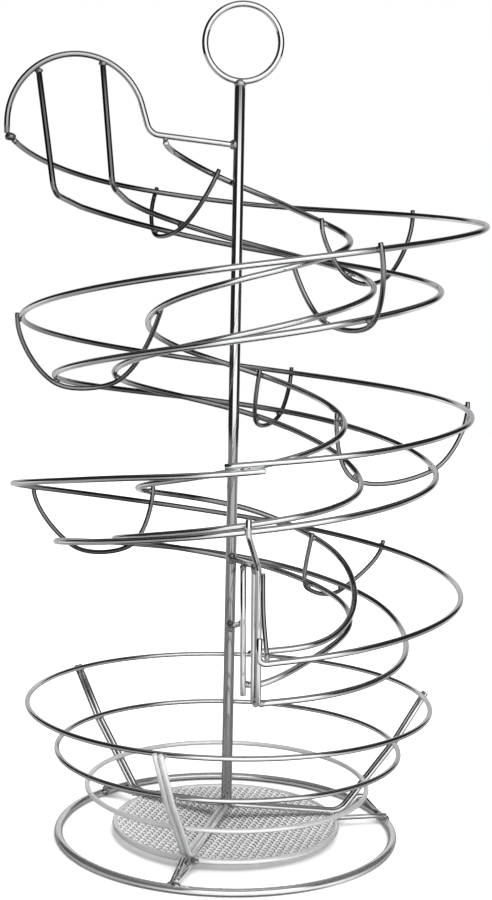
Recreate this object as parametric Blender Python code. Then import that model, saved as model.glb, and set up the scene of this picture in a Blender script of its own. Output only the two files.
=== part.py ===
"""Rolling egg dispenser: a free-standing rack of welded, plated round wire.

Four wires wind down round a central post as a spiral channel. Two top rails keep the
eggs in, two floor rails carry them, and U-shaped cradles tie the four together. The
channel starts at an arched backstop on the left and ends at a stop frame over a round
wire basket, which has a woven mesh tray for a floor and stands on a base ring.

Metres, +Z up, and -Y is the front. The rack is laid out about its post, and then moved
so that the channel's axis, which is the middle of the whole rack, stands on the origin.
A turn angle along the channel is counted in quarter turns from the left side, clockwise
seen from above: 0 left, 1 back, 2 right, 3 front, 4 left again.
"""
import math

import bmesh
import bpy
from mathutils import Vector

MM = 0.001

# Clearance between two pieces that touch or are welded on the real rack
GAP = 0.3 * MM

# Central post, which leans a little to the left, and its ring handle
POST_DIA = 5.5 * MM
POST_TOP_Z = 378.0 * MM
POST_LEAN_X = -2.4 * MM
HANDLE_OUTER_DIA = 40.6 * MM
HANDLE_WIRE = 3.2 * MM
HANDLE_SHIFT_X = 1.0 * MM

# Spiral channel: its axis stands a little in front of the post
TRACK_AXIS_X = 2.4 * MM
TRACK_AXIS_Y = -12.0 * MM
TRACK_START_Z = 350.0 * MM
TRACK_PITCH = 87.7 * MM
TRACK_DEPTH = 27.0 * MM
OUTER_TOP_RADIUS = 111.0 * MM
CHANNEL_WIDTH = 60.0 * MM
INNER_TOP_RADIUS = OUTER_TOP_RADIUS - CHANNEL_WIDTH
OUTER_FLOOR_INSET = 18.0 * MM
INNER_FLOOR_OUTSET = 10.0 * MM
OUTER_FLOOR_RADIUS = OUTER_TOP_RADIUS - OUTER_FLOOR_INSET
INNER_FLOOR_RADIUS = INNER_TOP_RADIUS + INNER_FLOOR_OUTSET
RAIL_WIRE = 3.0 * MM
LAST_LEFT_QUARTER = 8
QUARTER_DEGREES = 90.0
RAIL_STEP_DEGREES = 11.25
RAIL_STEP = RAIL_STEP_DEGREES / QUARTER_DEGREES

# The rails are bent by hand. Each row is a quarter turn, the share of the rail's radius
# there, and the share of the pitch by which the rail lies above its even spiral.
OUTER_TOP_SHARES = (
    (0.07, 1.052, 0.0), (0.5, 1.05, -0.02), (1.0, 1.02, 0.01), (1.5, 1.03, 0.065),
    (2.0, 1.05, 0.07), (2.5, 1.02, 0.03), (3.0, 1.0, 0.0), (4.0, 0.97, -0.035),
    (5.0, 0.995, -0.035), (6.0, 1.015, 0.02), (7.0, 0.995, 0.035), (8.0, 1.0, 0.045),
    (9.0, 0.99, -0.015), (10.0, 1.0, 0.005), (10.5, 0.98, 0.037), (10.9, 0.975, 0.067),
)
INNER_TOP_SHARES = (
    (0.18, 0.835, 0.035), (0.5, 0.93, 0.065), (1.0, 0.98, 0.035), (1.5, 0.95, -0.015),
    (2.0, 1.0, -0.035), (3.0, 0.98, -0.035), (4.0, 0.92, -0.035), (5.0, 0.98, -0.035),
    (6.0, 1.0, -0.06), (7.0, 1.0, -0.035), (8.0, 0.985, 0.04), (9.0, 1.05, 0.125),
    (9.5, 1.13, 0.09), (10.0, 1.14, 0.025), (10.5, 1.22, -0.06), (10.9, 1.12, -0.015),
)
OUTER_FLOOR_SHARES = (
    (0.09, 1.04, 0.02), (0.5, 1.02, 0.035), (1.0, 1.015, 0.025), (2.0, 1.03, 0.015),
    (3.0, 1.005, -0.04), (4.0, 0.985, -0.035), (5.2, 1.0, 0.04), (6.0, 1.04, -0.005),
    (7.0, 1.01, 0.01), (8.0, 0.965, 0.035), (9.0, 1.0, 0.055), (9.5, 0.97, 0.04),
    (10.0, 0.915, 0.02), (10.5, 0.94, 0.055), (10.9, 0.93, 0.11),
)
INNER_FLOOR_SHARES = (
    (0.11, 1.11, 0.07), (0.5, 1.14, 0.06), (1.0, 1.055, 0.035), (2.0, 1.04, 0.015),
    (3.0, 1.0, -0.015), (4.0, 1.03, -0.01), (5.0, 1.0, 0.01), (6.0, 0.985, -0.08),
    (7.0, 1.0, -0.01), (8.0, 1.005, 0.055), (9.0, 1.015, 0.095), (9.5, 1.01, 0.095),
    (10.0, 0.935, 0.11), (10.5, 0.84, 0.11), (10.86, 0.885, 0.102), (10.94, 0.9, 0.125),
)

# The outer top rail is two wires, lapped side by side at the front of the second turn
LAP_FROM_DEGREES = 624.6
LAP_TO_DEGREES = 633.6
LAP_EASE_DEGREES = 40.5

# Backstop: an arch in the plane of the post, with the floor rails turned up to meet it
ARCH_WIRE = 3.0 * MM
ARCH_RADIUS = 34.0 * MM
ARCH_CENTRE_Z = 357.0 * MM
ARCH_END_DROP = 5.5 * MM
ARCH_SWEEP_DEGREES = 162.0
ARCH_STEPS = 20
ARCH_TAIL_SHIFT = 36.6 * MM
ARCH_TAIL_Z = 348.9 * MM
ARCH_TAIL_RISE = 4.2 * MM
ARCH_TAIL_BEND = 7.0 * MM
OUTER_UPRIGHT_SHIFT = -18.9 * MM
INNER_UPRIGHT_SHIFT = 12.8 * MM
UPRIGHT_BEND = 7.0 * MM
UPRIGHT_LEAD_DEGREES = 18.0

# U-shaped cradles, each seated on the four rails. A row is the quarter turn of its seat on
# the outer top, outer floor, inner floor and inner top rail.
CRADLE_WIRE = 2.4 * MM
CRADLE_TIP = 3.0 * MM
CRADLE_STEPS = 6
CRADLE_ROUNDS = 16
CRADLE_PULL = 0.86
CRADLE_SIDES = (1, 1, -1, -1)
CRADLE_TILTS = (0.0, 62.0, 62.0, 0.0)
QUARTER_SHARES = (0.0, 0.25, 0.5, 0.75)
CRADLE_QUARTERS = (
    (0.715, 0.655, 0.665, 0.78), (1.56, 1.58, 1.66, 1.63), (2.67, 2.61, 2.6, 2.69),
    (3.955, 4.03, 4.03, 3.715), (5.16, 5.15, 5.095, 5.125), (5.92, 5.94, 5.9, 5.93),
    (8.21, 8.23, 8.24, 8.26), (9.5, 9.44, 9.44, 9.5),
)

# Ties from the post to the inner top rail: height on the post and quarter turn on the rail
TIE_WIRE = 2.4 * MM
TIE_UPPER_Z = 326.0 * MM
TIE_MIDDLE_Z = 246.5 * MM
TIE_LOWER_Z = 169.0 * MM
TIE_QUARTERS = (0.9, 4.93, 8.97)

# Stop frame at the end of the channel
STOP_WIRE = 2.8 * MM
STOP_OUTER_X = 12.8 * MM
STOP_OUTER_LEAN = -1.2 * MM
STOP_OUTER_BELOW = 0.5 * MM
STOP_INNER_X = 6.4 * MM
STOP_INNER_LEAN = -1.5 * MM
STOP_INNER_BELOW = 5.2 * MM
STOP_ARM_Z = 142.2 * MM
STOP_ARM_RISE = 12.2 * MM
STOP_ARM_BEND = 3.0 * MM
STOP_ARM_TURN = math.radians(132.0)
STOP_BRACE_Z = 107.0 * MM
STOP_BRACE_RISE = 16.0 * MM
STOP_BEND = 8.0 * MM
HANGER_DEGREES = 627.7
HANGER_TIP = 6.0 * MM
HANGER_BEND_BELOW = 1.0 * MM
HANGER_RUN = 17.0 * MM
END_WIRE = 2.2 * MM
END_WIRE_TURN = math.radians(-50.0)
END_WIRE_TOP_BELOW = 1.0 * MM
END_WIRE_BULGE = -0.7 * MM
END_WIRE_STEPS = 4
END_WIRE_FOOT = 3.4 * MM
END_RAIL_X = 12.2 * MM
END_TURN_UP = 11.5 * MM
END_BEND = 3.0 * MM

# Basket: three rings, three double-wire ribs that run in as spokes, and the mesh tray
TRAY_RADIUS = 56.8 * MM
TRAY_WIRE = 2.8 * MM
LOWER_RING_OUTSET = 14.6 * MM
LOWER_RING_RADIUS = TRAY_RADIUS + LOWER_RING_OUTSET
LOWER_RING_Z = 25.8 * MM
MIDDLE_RING_OUTSET = 15.6 * MM
MIDDLE_RING_RADIUS = LOWER_RING_RADIUS + MIDDLE_RING_OUTSET
MIDDLE_RING_Z = 45.4 * MM
RIM_OUTSET = 15.0 * MM
RIM_RADIUS = MIDDLE_RING_RADIUS + RIM_OUTSET
RIM_Z = 69.5 * MM
RING_WIRE = 2.5 * MM
RIB_WIRE = 2.6 * MM
RIB_TIP = 2.5 * MM
RIB_BEND = 9.0 * MM
RIB_AZIMUTHS = (-107.0, 12.0, 143.0)
SPOKE_Z = 14.5 * MM
MESH_THICKNESS = 1.0 * MM
MESH_PITCH = 7.8 * MM
MESH_STRAND = 1.6 * MM
MESH_LEAST_SHARE = 0.25

# Base ring, legs and the foot bars that carry the tray. The legs are bent by hand, each to
# its own height, and each foot bar lies on one side of its leg.
BASE_OUTSET = 28.7 * MM
BASE_RADIUS = TRAY_RADIUS + BASE_OUTSET
BASE_WIRE = 4.0 * MM
BASE_SIDES = 10
LEG_WIRE = 2.6 * MM
LEG_APEX_HEIGHTS = (10.0 * MM, 17.2 * MM, 10.0 * MM)
LEG_BEND = 3.0 * MM
FOOT_BAR_SIDES = (1, -1, -1)

WIRE_SEGMENTS = 44
WIRE_SIDES = 8
CORNER_STEPS = 5


def reset_scene():
    for obj in list(bpy.data.objects):
        bpy.data.objects.remove(obj, do_unlink=True)


def make_collection(name):
    collection = bpy.data.collections.new(name)
    bpy.context.scene.collection.children.link(collection)
    return collection


def make_material(name, colour, roughness, metallic):
    material = bpy.data.materials.new(name)
    material.use_nodes = True
    shader = material.node_tree.nodes["Principled BSDF"]
    shader.inputs["Base Color"].default_value = (*colour, 1.0)
    shader.inputs["Roughness"].default_value = roughness
    shader.inputs["Metallic"].default_value = metallic
    return material


def chrome(name):
    return make_material(name + "_chrome", (0.72, 0.73, 0.74), 0.12, 1.0)


def steel_mesh(name):
    return make_material(name + "_steel", (0.62, 0.63, 0.64), 0.3, 1.0)


def finish(name, obj, collection, material):
    """Name the object, give it its material and move it to the part's collection."""
    obj.name = name
    obj.data.name = name
    obj.data.materials.clear()
    obj.data.materials.append(material)
    for owner in list(obj.users_collection):
        owner.objects.unlink(obj)
    collection.objects.link(obj)
    return obj


def wire(name, points, diameter, collection):
    """A round wire with flat ends along the points."""
    curve = bpy.data.curves.new(name, "CURVE")
    curve.dimensions = "3D"
    curve.bevel_depth = diameter / 2
    curve.bevel_resolution = 2
    curve.use_fill_caps = True
    spline = curve.splines.new("POLY")
    spline.points.add(len(points) - 1)
    for control, point in zip(spline.points, points):
        control.co = (*point, 1.0)
    spline.use_smooth = True
    obj = bpy.data.objects.new(name, curve)
    bpy.context.scene.collection.objects.link(obj)
    return finish(name, obj, collection, chrome(name))


def ring(name, radius, z, diameter, collection):
    """A closed level ring of round wire about the post."""
    bpy.ops.mesh.primitive_torus_add(
        major_radius=radius, minor_radius=diameter / 2, major_segments=WIRE_SEGMENTS,
        minor_segments=WIRE_SIDES, location=(0.0, 0.0, z))
    obj = bpy.context.object
    obj.data.shade_smooth()
    return finish(name, obj, collection, chrome(name))


def blend(rows, at, column):
    """The value of a column of a table at a place between its rows, on a smooth curve."""
    places = [row[0] for row in rows]
    values = [row[column] for row in rows]
    last = len(rows) - 1
    if at <= places[0]:
        return values[0]
    if at >= places[last]:
        return values[last]
    index = max(i for i in range(last) if places[i] <= at)

    def slope(i):
        low, high = max(i - 1, 0), min(i + 1, last)
        return (values[high] - values[low]) / (places[high] - places[low])

    width = places[index + 1] - places[index]
    t = (at - places[index]) / width
    start = (1 + 2 * t) * (1 - t) ** 2 * values[index] + t * (1 - t) ** 2 * width * slope(index)
    end = t * t * (3 - 2 * t) * values[index + 1] + t * t * (t - 1) * width * slope(index + 1)
    return start + end


def on_spiral(radius, quarter, z):
    """The point of a radius about the channel's axis at a quarter turn."""
    angle = math.radians(90.0 * quarter)
    x = TRACK_AXIS_X - radius * math.cos(angle)
    y = TRACK_AXIS_Y + radius * math.sin(angle)
    return Vector((x, y, z))


def even_height(quarter, drop):
    return TRACK_START_Z - drop - TRACK_PITCH * quarter / 4


class Rail:
    """One wire of the channel: its radius, its depth below the top rails and its bends."""

    def __init__(self, radius, drop, shares):
        self.radius = radius
        self.drop = drop
        self.shares = shares

    def point(self, quarter):
        radius = self.radius * blend(self.shares, quarter, 1)
        lift = TRACK_PITCH * blend(self.shares, quarter, 2)
        return on_spiral(radius, quarter, even_height(quarter, self.drop) + lift)

    def end_at(self, x):
        """The quarter turn at the front of the last turn where the rail reaches an x."""
        radius = self.radius * self.shares[-1][1]
        return LAST_LEFT_QUARTER + 4 - math.degrees(math.acos((TRACK_AXIS_X - x) / radius)) / 90.0

    def path(self, start, end):
        """The bend points from one quarter turn to another, on steps shared by all rails."""
        first = math.floor(start / RAIL_STEP) + 1
        last = math.ceil(end / RAIL_STEP) - 1
        inner = [self.point(i * RAIL_STEP) for i in range(first, last + 1)]
        return [self.point(start)] + inner + [self.point(end)]

    def along(self, quarter):
        """The direction of the straight step of the bent wire at a quarter turn."""
        index = math.floor(quarter / RAIL_STEP)
        return (self.point((index + 1) * RAIL_STEP) - self.point(index * RAIL_STEP)).normalized()

    def frame(self, quarter):
        """A point on the bent wire, with its level outward side and its underside."""
        index = math.floor(quarter / RAIL_STEP)
        low = self.point(index * RAIL_STEP)
        high = self.point((index + 1) * RAIL_STEP)
        along = self.along(quarter)
        outward = Vector((-along.y, along.x, 0.0)).normalized()
        below = outward.cross(along)
        if below.z > 0:
            below.negate()
        return low.lerp(high, quarter / RAIL_STEP - index), outward, below

    def beside(self, quarter, side, tilt, diameter):
        """The centre of a wire against the rail: side 1 is outside, tilt turns it under."""
        point, outward, below = self.frame(quarter)
        reach = (RAIL_WIRE + diameter) / 2 + GAP
        return point + (outward * (side * math.cos(tilt)) + below * math.sin(tilt)) * reach


OUTER_TOP = Rail(OUTER_TOP_RADIUS, 0.0, OUTER_TOP_SHARES)
INNER_TOP = Rail(INNER_TOP_RADIUS, 0.0, INNER_TOP_SHARES)
OUTER_FLOOR = Rail(OUTER_FLOOR_RADIUS, TRACK_DEPTH, OUTER_FLOOR_SHARES)
INNER_FLOOR = Rail(INNER_FLOOR_RADIUS, TRACK_DEPTH, INNER_FLOOR_SHARES)


def rounded(points, radius):
    """The polyline with each inner corner turned into an arc of the radius."""
    path = [points[0]]
    for before, corner, after in zip(points, points[1:], points[2:]):
        back = (before - corner).normalized()
        ahead = (after - corner).normalized()
        half = back.angle(ahead) / 2
        length = radius / math.tan(half)
        centre = corner + (back + ahead).normalized() * (radius / math.sin(half))
        first = corner + back * length - centre
        second = corner + ahead * length - centre
        for i in range(CORNER_STEPS + 1):
            direction = first.normalized().slerp(second.normalized(), i / CORNER_STEPS)
            path.append(centre + direction * radius)
    path.append(points[-1])
    return path


def smooth_path(points, steps):
    """A smooth curve through the points, with this many steps between each two."""
    path = []
    last = len(points) - 1
    for i in range(last):
        p0 = points[max(i - 1, 0)]
        p1 = points[i]
        p2 = points[i + 1]
        p3 = points[min(i + 2, last)]
        for step in range(steps):
            t = step / steps
            a = 2 * p1
            b = p2 - p0
            c = 2 * p0 - 5 * p1 + 4 * p2 - p3
            d = 3 * p1 - p0 - 3 * p2 + p3
            path.append((a + b * t + c * t * t + d * t ** 3) / 2)
    path.append(points[last])
    return path


def arch_centre_x():
    """The arch's left end runs just outside the start of the outer top rail."""
    start = OUTER_TOP.point(OUTER_TOP_SHARES[0][0])
    return start.x - (RAIL_WIRE + ARCH_WIRE) / 2 - GAP + ARCH_RADIUS


def arch_inner_z(x):
    """The height at which an upright of rail wire at x stops short of the arch."""
    reach = ARCH_RADIUS - ARCH_WIRE / 2 - GAP
    offset = abs(x - arch_centre_x()) + RAIL_WIRE / 2
    return ARCH_CENTRE_Z + math.sqrt(reach * reach - offset * offset)


def on_post(z):
    """The post's centre line at a height: it leans from the foot to the top."""
    return Vector((POST_LEAN_X * (z - SPOKE_Z) / (POST_TOP_Z - SPOKE_Z), 0.0, z))


def build_post(collection):
    foot = on_post(SPOKE_Z - RIB_WIRE / 2)
    run = on_post(POST_TOP_Z) - foot
    bpy.ops.mesh.primitive_cylinder_add(
        vertices=2 * WIRE_SIDES, radius=POST_DIA / 2, depth=run.length,
        location=foot + run / 2, rotation=(0.0, math.atan2(run.x, run.z), 0.0))
    obj = bpy.context.object
    obj.data.shade_smooth()
    obj.data.set_sharp_from_angle(angle=math.radians(40.0))
    finish("central_post", obj, collection, chrome("central_post"))


def build_handle(collection):
    radius = (HANDLE_OUTER_DIA - HANDLE_WIRE) / 2
    x = on_post(POST_TOP_Z).x + HANDLE_SHIFT_X
    z = POST_TOP_Z + GAP + HANDLE_OUTER_DIA / 2
    bpy.ops.mesh.primitive_torus_add(
        major_radius=radius, minor_radius=HANDLE_WIRE / 2, major_segments=WIRE_SEGMENTS,
        minor_segments=WIRE_SIDES, location=(x, 0.0, z),
        rotation=(math.radians(90.0), 0.0, 0.0))
    obj = bpy.context.object
    obj.data.shade_smooth()
    finish("ring_handle", obj, collection, chrome("ring_handle"))


def build_arch(collection):
    """A near full half circle from the rail's start, with an S-bend into its tail."""
    centre = Vector((arch_centre_x(), 0.0, ARCH_CENTRE_Z))
    path = [centre + Vector((-ARCH_RADIUS, 0.0, -ARCH_END_DROP))]
    for i in range(ARCH_STEPS + 1):
        angle = math.radians(180.0 - ARCH_SWEEP_DEGREES * i / ARCH_STEPS)
        path.append(centre + ARCH_RADIUS * Vector((math.cos(angle), 0.0, math.sin(angle))))
    leave = path[-1]
    end = on_post(ARCH_TAIL_Z) - Vector((POST_DIA / 2 + GAP, 0.0, 0.0))
    corner = Vector((centre.x + ARCH_TAIL_SHIFT, 0.0, end.z + ARCH_TAIL_RISE))
    path += rounded([leave, corner, end], ARCH_TAIL_BEND)[1:]
    wire("backstop_arch", path, ARCH_WIRE, collection)


def lapped(rail, start, end, side):
    """A rail's path whose end lies above or below the next wire's end where they lap."""
    near = (LAP_TO_DEGREES if side > 0 else LAP_FROM_DEGREES) / QUARTER_DEGREES
    offset = side * (RAIL_WIRE + GAP) / 2
    first = math.floor(start / RAIL_STEP) + 1
    last = math.ceil(end / RAIL_STEP) - 1
    quarters = [start] + [i * RAIL_STEP for i in range(first, last + 1)] + [end]
    path = []
    for quarter in quarters:
        away = min(abs(quarter - near) * QUARTER_DEGREES / LAP_EASE_DEGREES, 1.0)
        ease = (1 + math.cos(math.pi * away)) / 2
        path.append(rail.point(quarter) + Vector((0.0, 0.0, offset * ease)))
    return path


def build_top_rails(collection):
    first = OUTER_TOP_SHARES[0][0]
    upper = lapped(OUTER_TOP, first, LAP_TO_DEGREES / QUARTER_DEGREES, 1)
    wire("outer_rail_upper", upper, RAIL_WIRE, collection)
    last = OUTER_TOP.end_at(END_RAIL_X)
    lower = lapped(OUTER_TOP, LAP_FROM_DEGREES / QUARTER_DEGREES, last, -1)
    upturned = rounded(lower[-2:] + [lower[-1] + Vector((0.0, 0.0, END_TURN_UP))], END_BEND)
    wire("outer_rail_lower", lower[:-2] + upturned, RAIL_WIRE, collection)
    last = INNER_TOP.end_at(STOP_INNER_X + STOP_WIRE / 2 + GAP)
    inner = INNER_TOP.path(INNER_TOP_SHARES[0][0], last)
    wire("inner_rail", inner, RAIL_WIRE, collection)


def build_floor_rail(name, rail, upright_shift, stop_x, collection):
    """A floor rail whose start turns up as a bar of the backstop, and which ends at the stop."""
    start = rail.shares[0][0]
    corner = rail.point(start)
    last = rail.end_at(stop_x + STOP_WIRE / 2 + GAP)
    lead = rail.path(start + UPRIGHT_LEAD_DEGREES / QUARTER_DEGREES, last)
    upright_x = arch_centre_x() + upright_shift
    top = Vector((upright_x, corner.y, arch_inner_z(upright_x)))
    wire(name, rounded([top, corner, lead[0]], UPRIGHT_BEND) + lead[1:], RAIL_WIRE, collection)


def steps_near(rail, quarter):
    """The bend points of a rail round a quarter turn."""
    index = math.floor(quarter / RAIL_STEP)
    return [rail.point(i * RAIL_STEP) for i in range(index - 1, index + 4)]


def clearance(path, steps):
    """The least distance from a fine path to the straight steps of a bent wire."""
    least = math.inf
    fine = [a.lerp(b, share) for a, b in zip(path, path[1:]) for share in QUARTER_SHARES]
    for low, high in zip(steps, steps[1:]):
        run = high - low
        for point in fine:
            share = min(max((point - low).dot(run) / run.dot(run), 0.0), 1.0)
            least = min(least, (point - low - run * share).length)
    return least


def curve_through(points, tangents):
    """A smooth curve through the points with a given direction at each."""
    path = []
    for a, b, leave, arrive in zip(points, points[1:], tangents, tangents[1:]):
        pull = (b - a).length * CRADLE_PULL
        for i in range(CRADLE_STEPS):
            t = i / CRADLE_STEPS
            path.append(a * ((1 + 2 * t) * (1 - t) ** 2) + leave * (pull * t * (1 - t) ** 2)
                        + b * (t * t * (3 - 2 * t)) + arrive * (pull * t * t * (t - 1)))
    path.append(points[-1])
    return path


def cradle_path(quarters):
    """A U outside both top rails and under both floor rails, seated on all four."""
    rails = (OUTER_TOP, OUTER_FLOOR, INNER_FLOOR, INNER_TOP)
    centres = []
    aways = []
    steps = []
    for rail, quarter, side, tilt in zip(rails, quarters, CRADLE_SIDES, CRADLE_TILTS):
        point, outward, below = rail.frame(quarter)
        angle = math.radians(tilt)
        centres.append(point)
        aways.append(outward * (side * math.cos(angle)) + below * math.sin(angle))
        steps.append(steps_near(rail, quarter))
    touch = (RAIL_WIRE + CRADLE_WIRE) / 2 + GAP
    reaches = [touch] * len(rails)
    tip = Vector((0.0, 0.0, CRADLE_TIP))
    for _ in range(CRADLE_ROUNDS):
        seats = [c + a * reach for c, a, reach in zip(centres, aways, reaches)]
        ends = [seats[0] + tip] + seats + [seats[-1] + tip]
        tangents = []
        for before, after, away in zip(ends, ends[2:], aways):
            run = after - before
            tangents.append((run - away * run.dot(away)).normalized())
        path = curve_through(seats, tangents)
        reaches = [reach + touch - clearance(path, near) for reach, near in zip(reaches, steps)]
    return [path[0] - tangents[0] * CRADLE_TIP] + path + [path[-1] + tangents[-1] * CRADLE_TIP]


def build_cradles(collection):
    for number, quarters in enumerate(CRADLE_QUARTERS, start=1):
        wire(f"cradle_{number}", cradle_path(quarters), CRADLE_WIRE, collection)


def between(start, end, start_clear, end_clear):
    """A straight run that stops short of the two centres that it joins."""
    along = (end - start).normalized()
    return [start + along * start_clear, end - along * end_clear]


def post_clear(start, end, diameter):
    """How far from the post's centre line a slanted wire's end must stay."""
    run = end - start
    level = math.hypot(run.x, run.y)
    slope = abs(run.z) / level
    return (POST_DIA / 2 + GAP + slope * diameter / 2) * run.length / level


def build_ties(collection):
    heights = (("tie_upper", TIE_UPPER_Z), ("tie_middle", TIE_MIDDLE_Z), ("tie_lower", TIE_LOWER_Z))
    for (name, z), quarter in zip(heights, TIE_QUARTERS):
        start = on_post(z)
        end = INNER_TOP.frame(quarter)[0]
        rail_clear = RAIL_WIRE / 2 + GAP + TIE_WIRE / 4
        path = between(start, end, post_clear(start, end, TIE_WIRE), rail_clear)
        wire(name, path, TIE_WIRE, collection)


def stop_foot(rail, x):
    """Where an upright of the stop frame passes the end of its floor rail."""
    return rail.point(rail.end_at(x))


def beside_upright(turn, diameter):
    """The step from the outer upright's centre line to a wire that runs against it."""
    reach = (STOP_WIRE + diameter) / 2 + GAP
    return Vector((math.cos(turn), math.sin(turn), 0.0)) * reach


def build_stop_frame(collection):
    """The frame that ends the channel and hangs its last stretch from the turn above."""
    outer_end = stop_foot(OUTER_FLOOR, STOP_OUTER_X)
    outer_foot = outer_end - Vector((0.0, 0.0, STOP_OUTER_BELOW))
    inner_end = stop_foot(INNER_FLOOR, STOP_INNER_X)
    inner_foot = inner_end - Vector((0.0, 0.0, STOP_INNER_BELOW))

    hanger = OUTER_FLOOR.beside(HANGER_DEGREES / QUARTER_DEGREES, 1, 0.0, STOP_WIRE)
    tip = hanger + Vector((0.0, 0.0, HANGER_TIP))
    bend = hanger - Vector((0.0, 0.0, HANGER_BEND_BELOW))
    knee = Vector((STOP_OUTER_X + STOP_OUTER_LEAN, outer_end.y, bend.z - HANGER_RUN))
    path = rounded([tip, bend, knee, outer_foot], STOP_BEND)
    wire("stop_outer_upright", path, STOP_WIRE, collection)

    aside = beside_upright(STOP_ARM_TURN, STOP_WIRE)
    arm_start = on_post(STOP_ARM_Z)
    arm_end = Vector((knee.x, knee.y, STOP_ARM_Z + STOP_ARM_RISE)) + aside
    run = (arm_end - arm_start).normalized()
    clear_start = arm_start + run * post_clear(arm_start, arm_end, STOP_WIRE)
    path = rounded([clear_start, arm_end, outer_foot + aside], STOP_ARM_BEND)
    wire("stop_arm", path, STOP_WIRE, collection)

    slope = (arm_end.z - arm_start.z) / abs(arm_end.y - arm_start.y)
    arm_z = arm_start.z + slope * abs(inner_end.y - arm_start.y)
    top_z = arm_z - GAP - (1 + slope) * STOP_WIRE / 2
    top = Vector((STOP_INNER_X + STOP_INNER_LEAN, inner_end.y, top_z))
    wire("stop_inner_upright", [top, inner_foot], STOP_WIRE, collection)

    brace_start = on_post(STOP_BRACE_Z)
    brace_z = STOP_BRACE_Z + STOP_BRACE_RISE
    brace_end = top.lerp(inner_foot, (top.z - brace_z) / (top.z - inner_foot.z))
    clear = post_clear(brace_start, brace_end, STOP_WIRE)
    path = between(brace_start, brace_end, clear, STOP_WIRE + GAP)
    wire("stop_brace", path, STOP_WIRE, collection)

    top = knee + beside_upright(END_WIRE_TURN, END_WIRE) - Vector((0.0, 0.0, END_WIRE_TOP_BELOW))
    on_rail = OUTER_TOP.point(OUTER_TOP.end_at(END_RAIL_X + END_WIRE_FOOT))
    foot = on_rail + Vector((0.0, 0.0, (RAIL_WIRE + END_WIRE) / 2 + GAP))
    middle = (top + foot) / 2 + Vector((END_WIRE_BULGE, 0.0, 0.0))
    wire("stop_end_wire", smooth_path([top, middle, foot], END_WIRE_STEPS), END_WIRE, collection)


def build_rings(collection):
    ring("basket_rim", RIM_RADIUS, RIM_Z, RING_WIRE, collection)
    ring("basket_middle_ring", MIDDLE_RING_RADIUS, MIDDLE_RING_Z, RING_WIRE, collection)
    ring("basket_lower_ring", LOWER_RING_RADIUS, LOWER_RING_Z, RING_WIRE, collection)


def turned(radius, z, azimuth, sideways):
    """A point at a radius from the post, shifted square to its azimuth."""
    angle = math.radians(azimuth)
    out = Vector((math.cos(angle), math.sin(angle), 0.0))
    side = Vector((-math.sin(angle), math.cos(angle), 0.0))
    return out * radius + side * sideways + Vector((0.0, 0.0, z))


def cross(a, b):
    return a.x * b.y - a.y * b.x


def base_top():
    return BASE_WIRE * math.cos(math.pi / BASE_SIDES)


def foot_height():
    """The foot bars lie on the base ring, and the tray's rim is level with them."""
    return base_top() + GAP + LEG_WIRE / 2


def rib_profile():
    """The rib's centre line in radius and height, on the outside of the three rings."""
    rings = ((RIM_RADIUS, RIM_Z), (MIDDLE_RING_RADIUS, MIDDLE_RING_Z),
             (LOWER_RING_RADIUS, LOWER_RING_Z))
    reach = (RING_WIRE + RIB_WIRE) / 2 + GAP
    profile = []
    for index, (radius, z) in enumerate(rings):
        low, high = rings[max(index - 1, 0)], rings[min(index + 1, 2)]
        slant = Vector((low[0] - high[0], low[1] - high[1])).normalized()
        profile.append(Vector((radius, z)) + Vector((slant.y, -slant.x)) * reach)
    tip = (profile[0] - profile[1]).normalized() * RIB_TIP
    down = (profile[2] - profile[1]).normalized()
    inner_end = Vector((POST_DIA / 2 + GAP, SPOKE_Z))
    over_tray = Vector((TRAY_RADIUS, foot_height() + (TRAY_WIRE + RIB_WIRE) / 2 + GAP))
    spoke = (over_tray - inner_end).normalized()
    apart = inner_end - profile[2]
    knee = profile[2] + down * (cross(apart, spoke) / cross(down, spoke))
    return [profile[0] + tip, profile[1], knee, inner_end]


def build_ribs(collection):
    profile = rib_profile()
    names = ("front", "right", "rear")
    for name, azimuth in zip(names, RIB_AZIMUTHS):
        for side, letter in ((-1, "a"), (1, "b")):
            sideways = side * (RIB_WIRE + GAP) / 2
            points = [turned(p.x, p.y, azimuth, sideways) for p in profile]
            wire(f"rib_{name}_{letter}", rounded(points, RIB_BEND), RIB_WIRE, collection)


def clipped_to_circle(corners, radius, sides):
    """A convex outline cut by a circle, which is taken as many straight edges."""
    outline = corners
    for i in range(sides):
        angle = 2 * math.pi * (i + 0.5) / sides
        normal = Vector((math.cos(angle), math.sin(angle)))
        kept = []
        for a, b in zip(outline, outline[1:] + outline[:1]):
            inside_a = a.dot(normal) - radius
            inside_b = b.dot(normal) - radius
            if inside_a <= 0:
                kept.append(a)
            if inside_a * inside_b < 0:
                kept.append(a.lerp(b, inside_a / (inside_a - inside_b)))
        outline = kept
        if len(outline) < 3:
            return []
    return outline


def area_of(outline):
    pairs = zip(outline, outline[1:] + outline[:1])
    return abs(sum(a.x * b.y - a.y * b.x for a, b in pairs)) / 2


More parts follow.
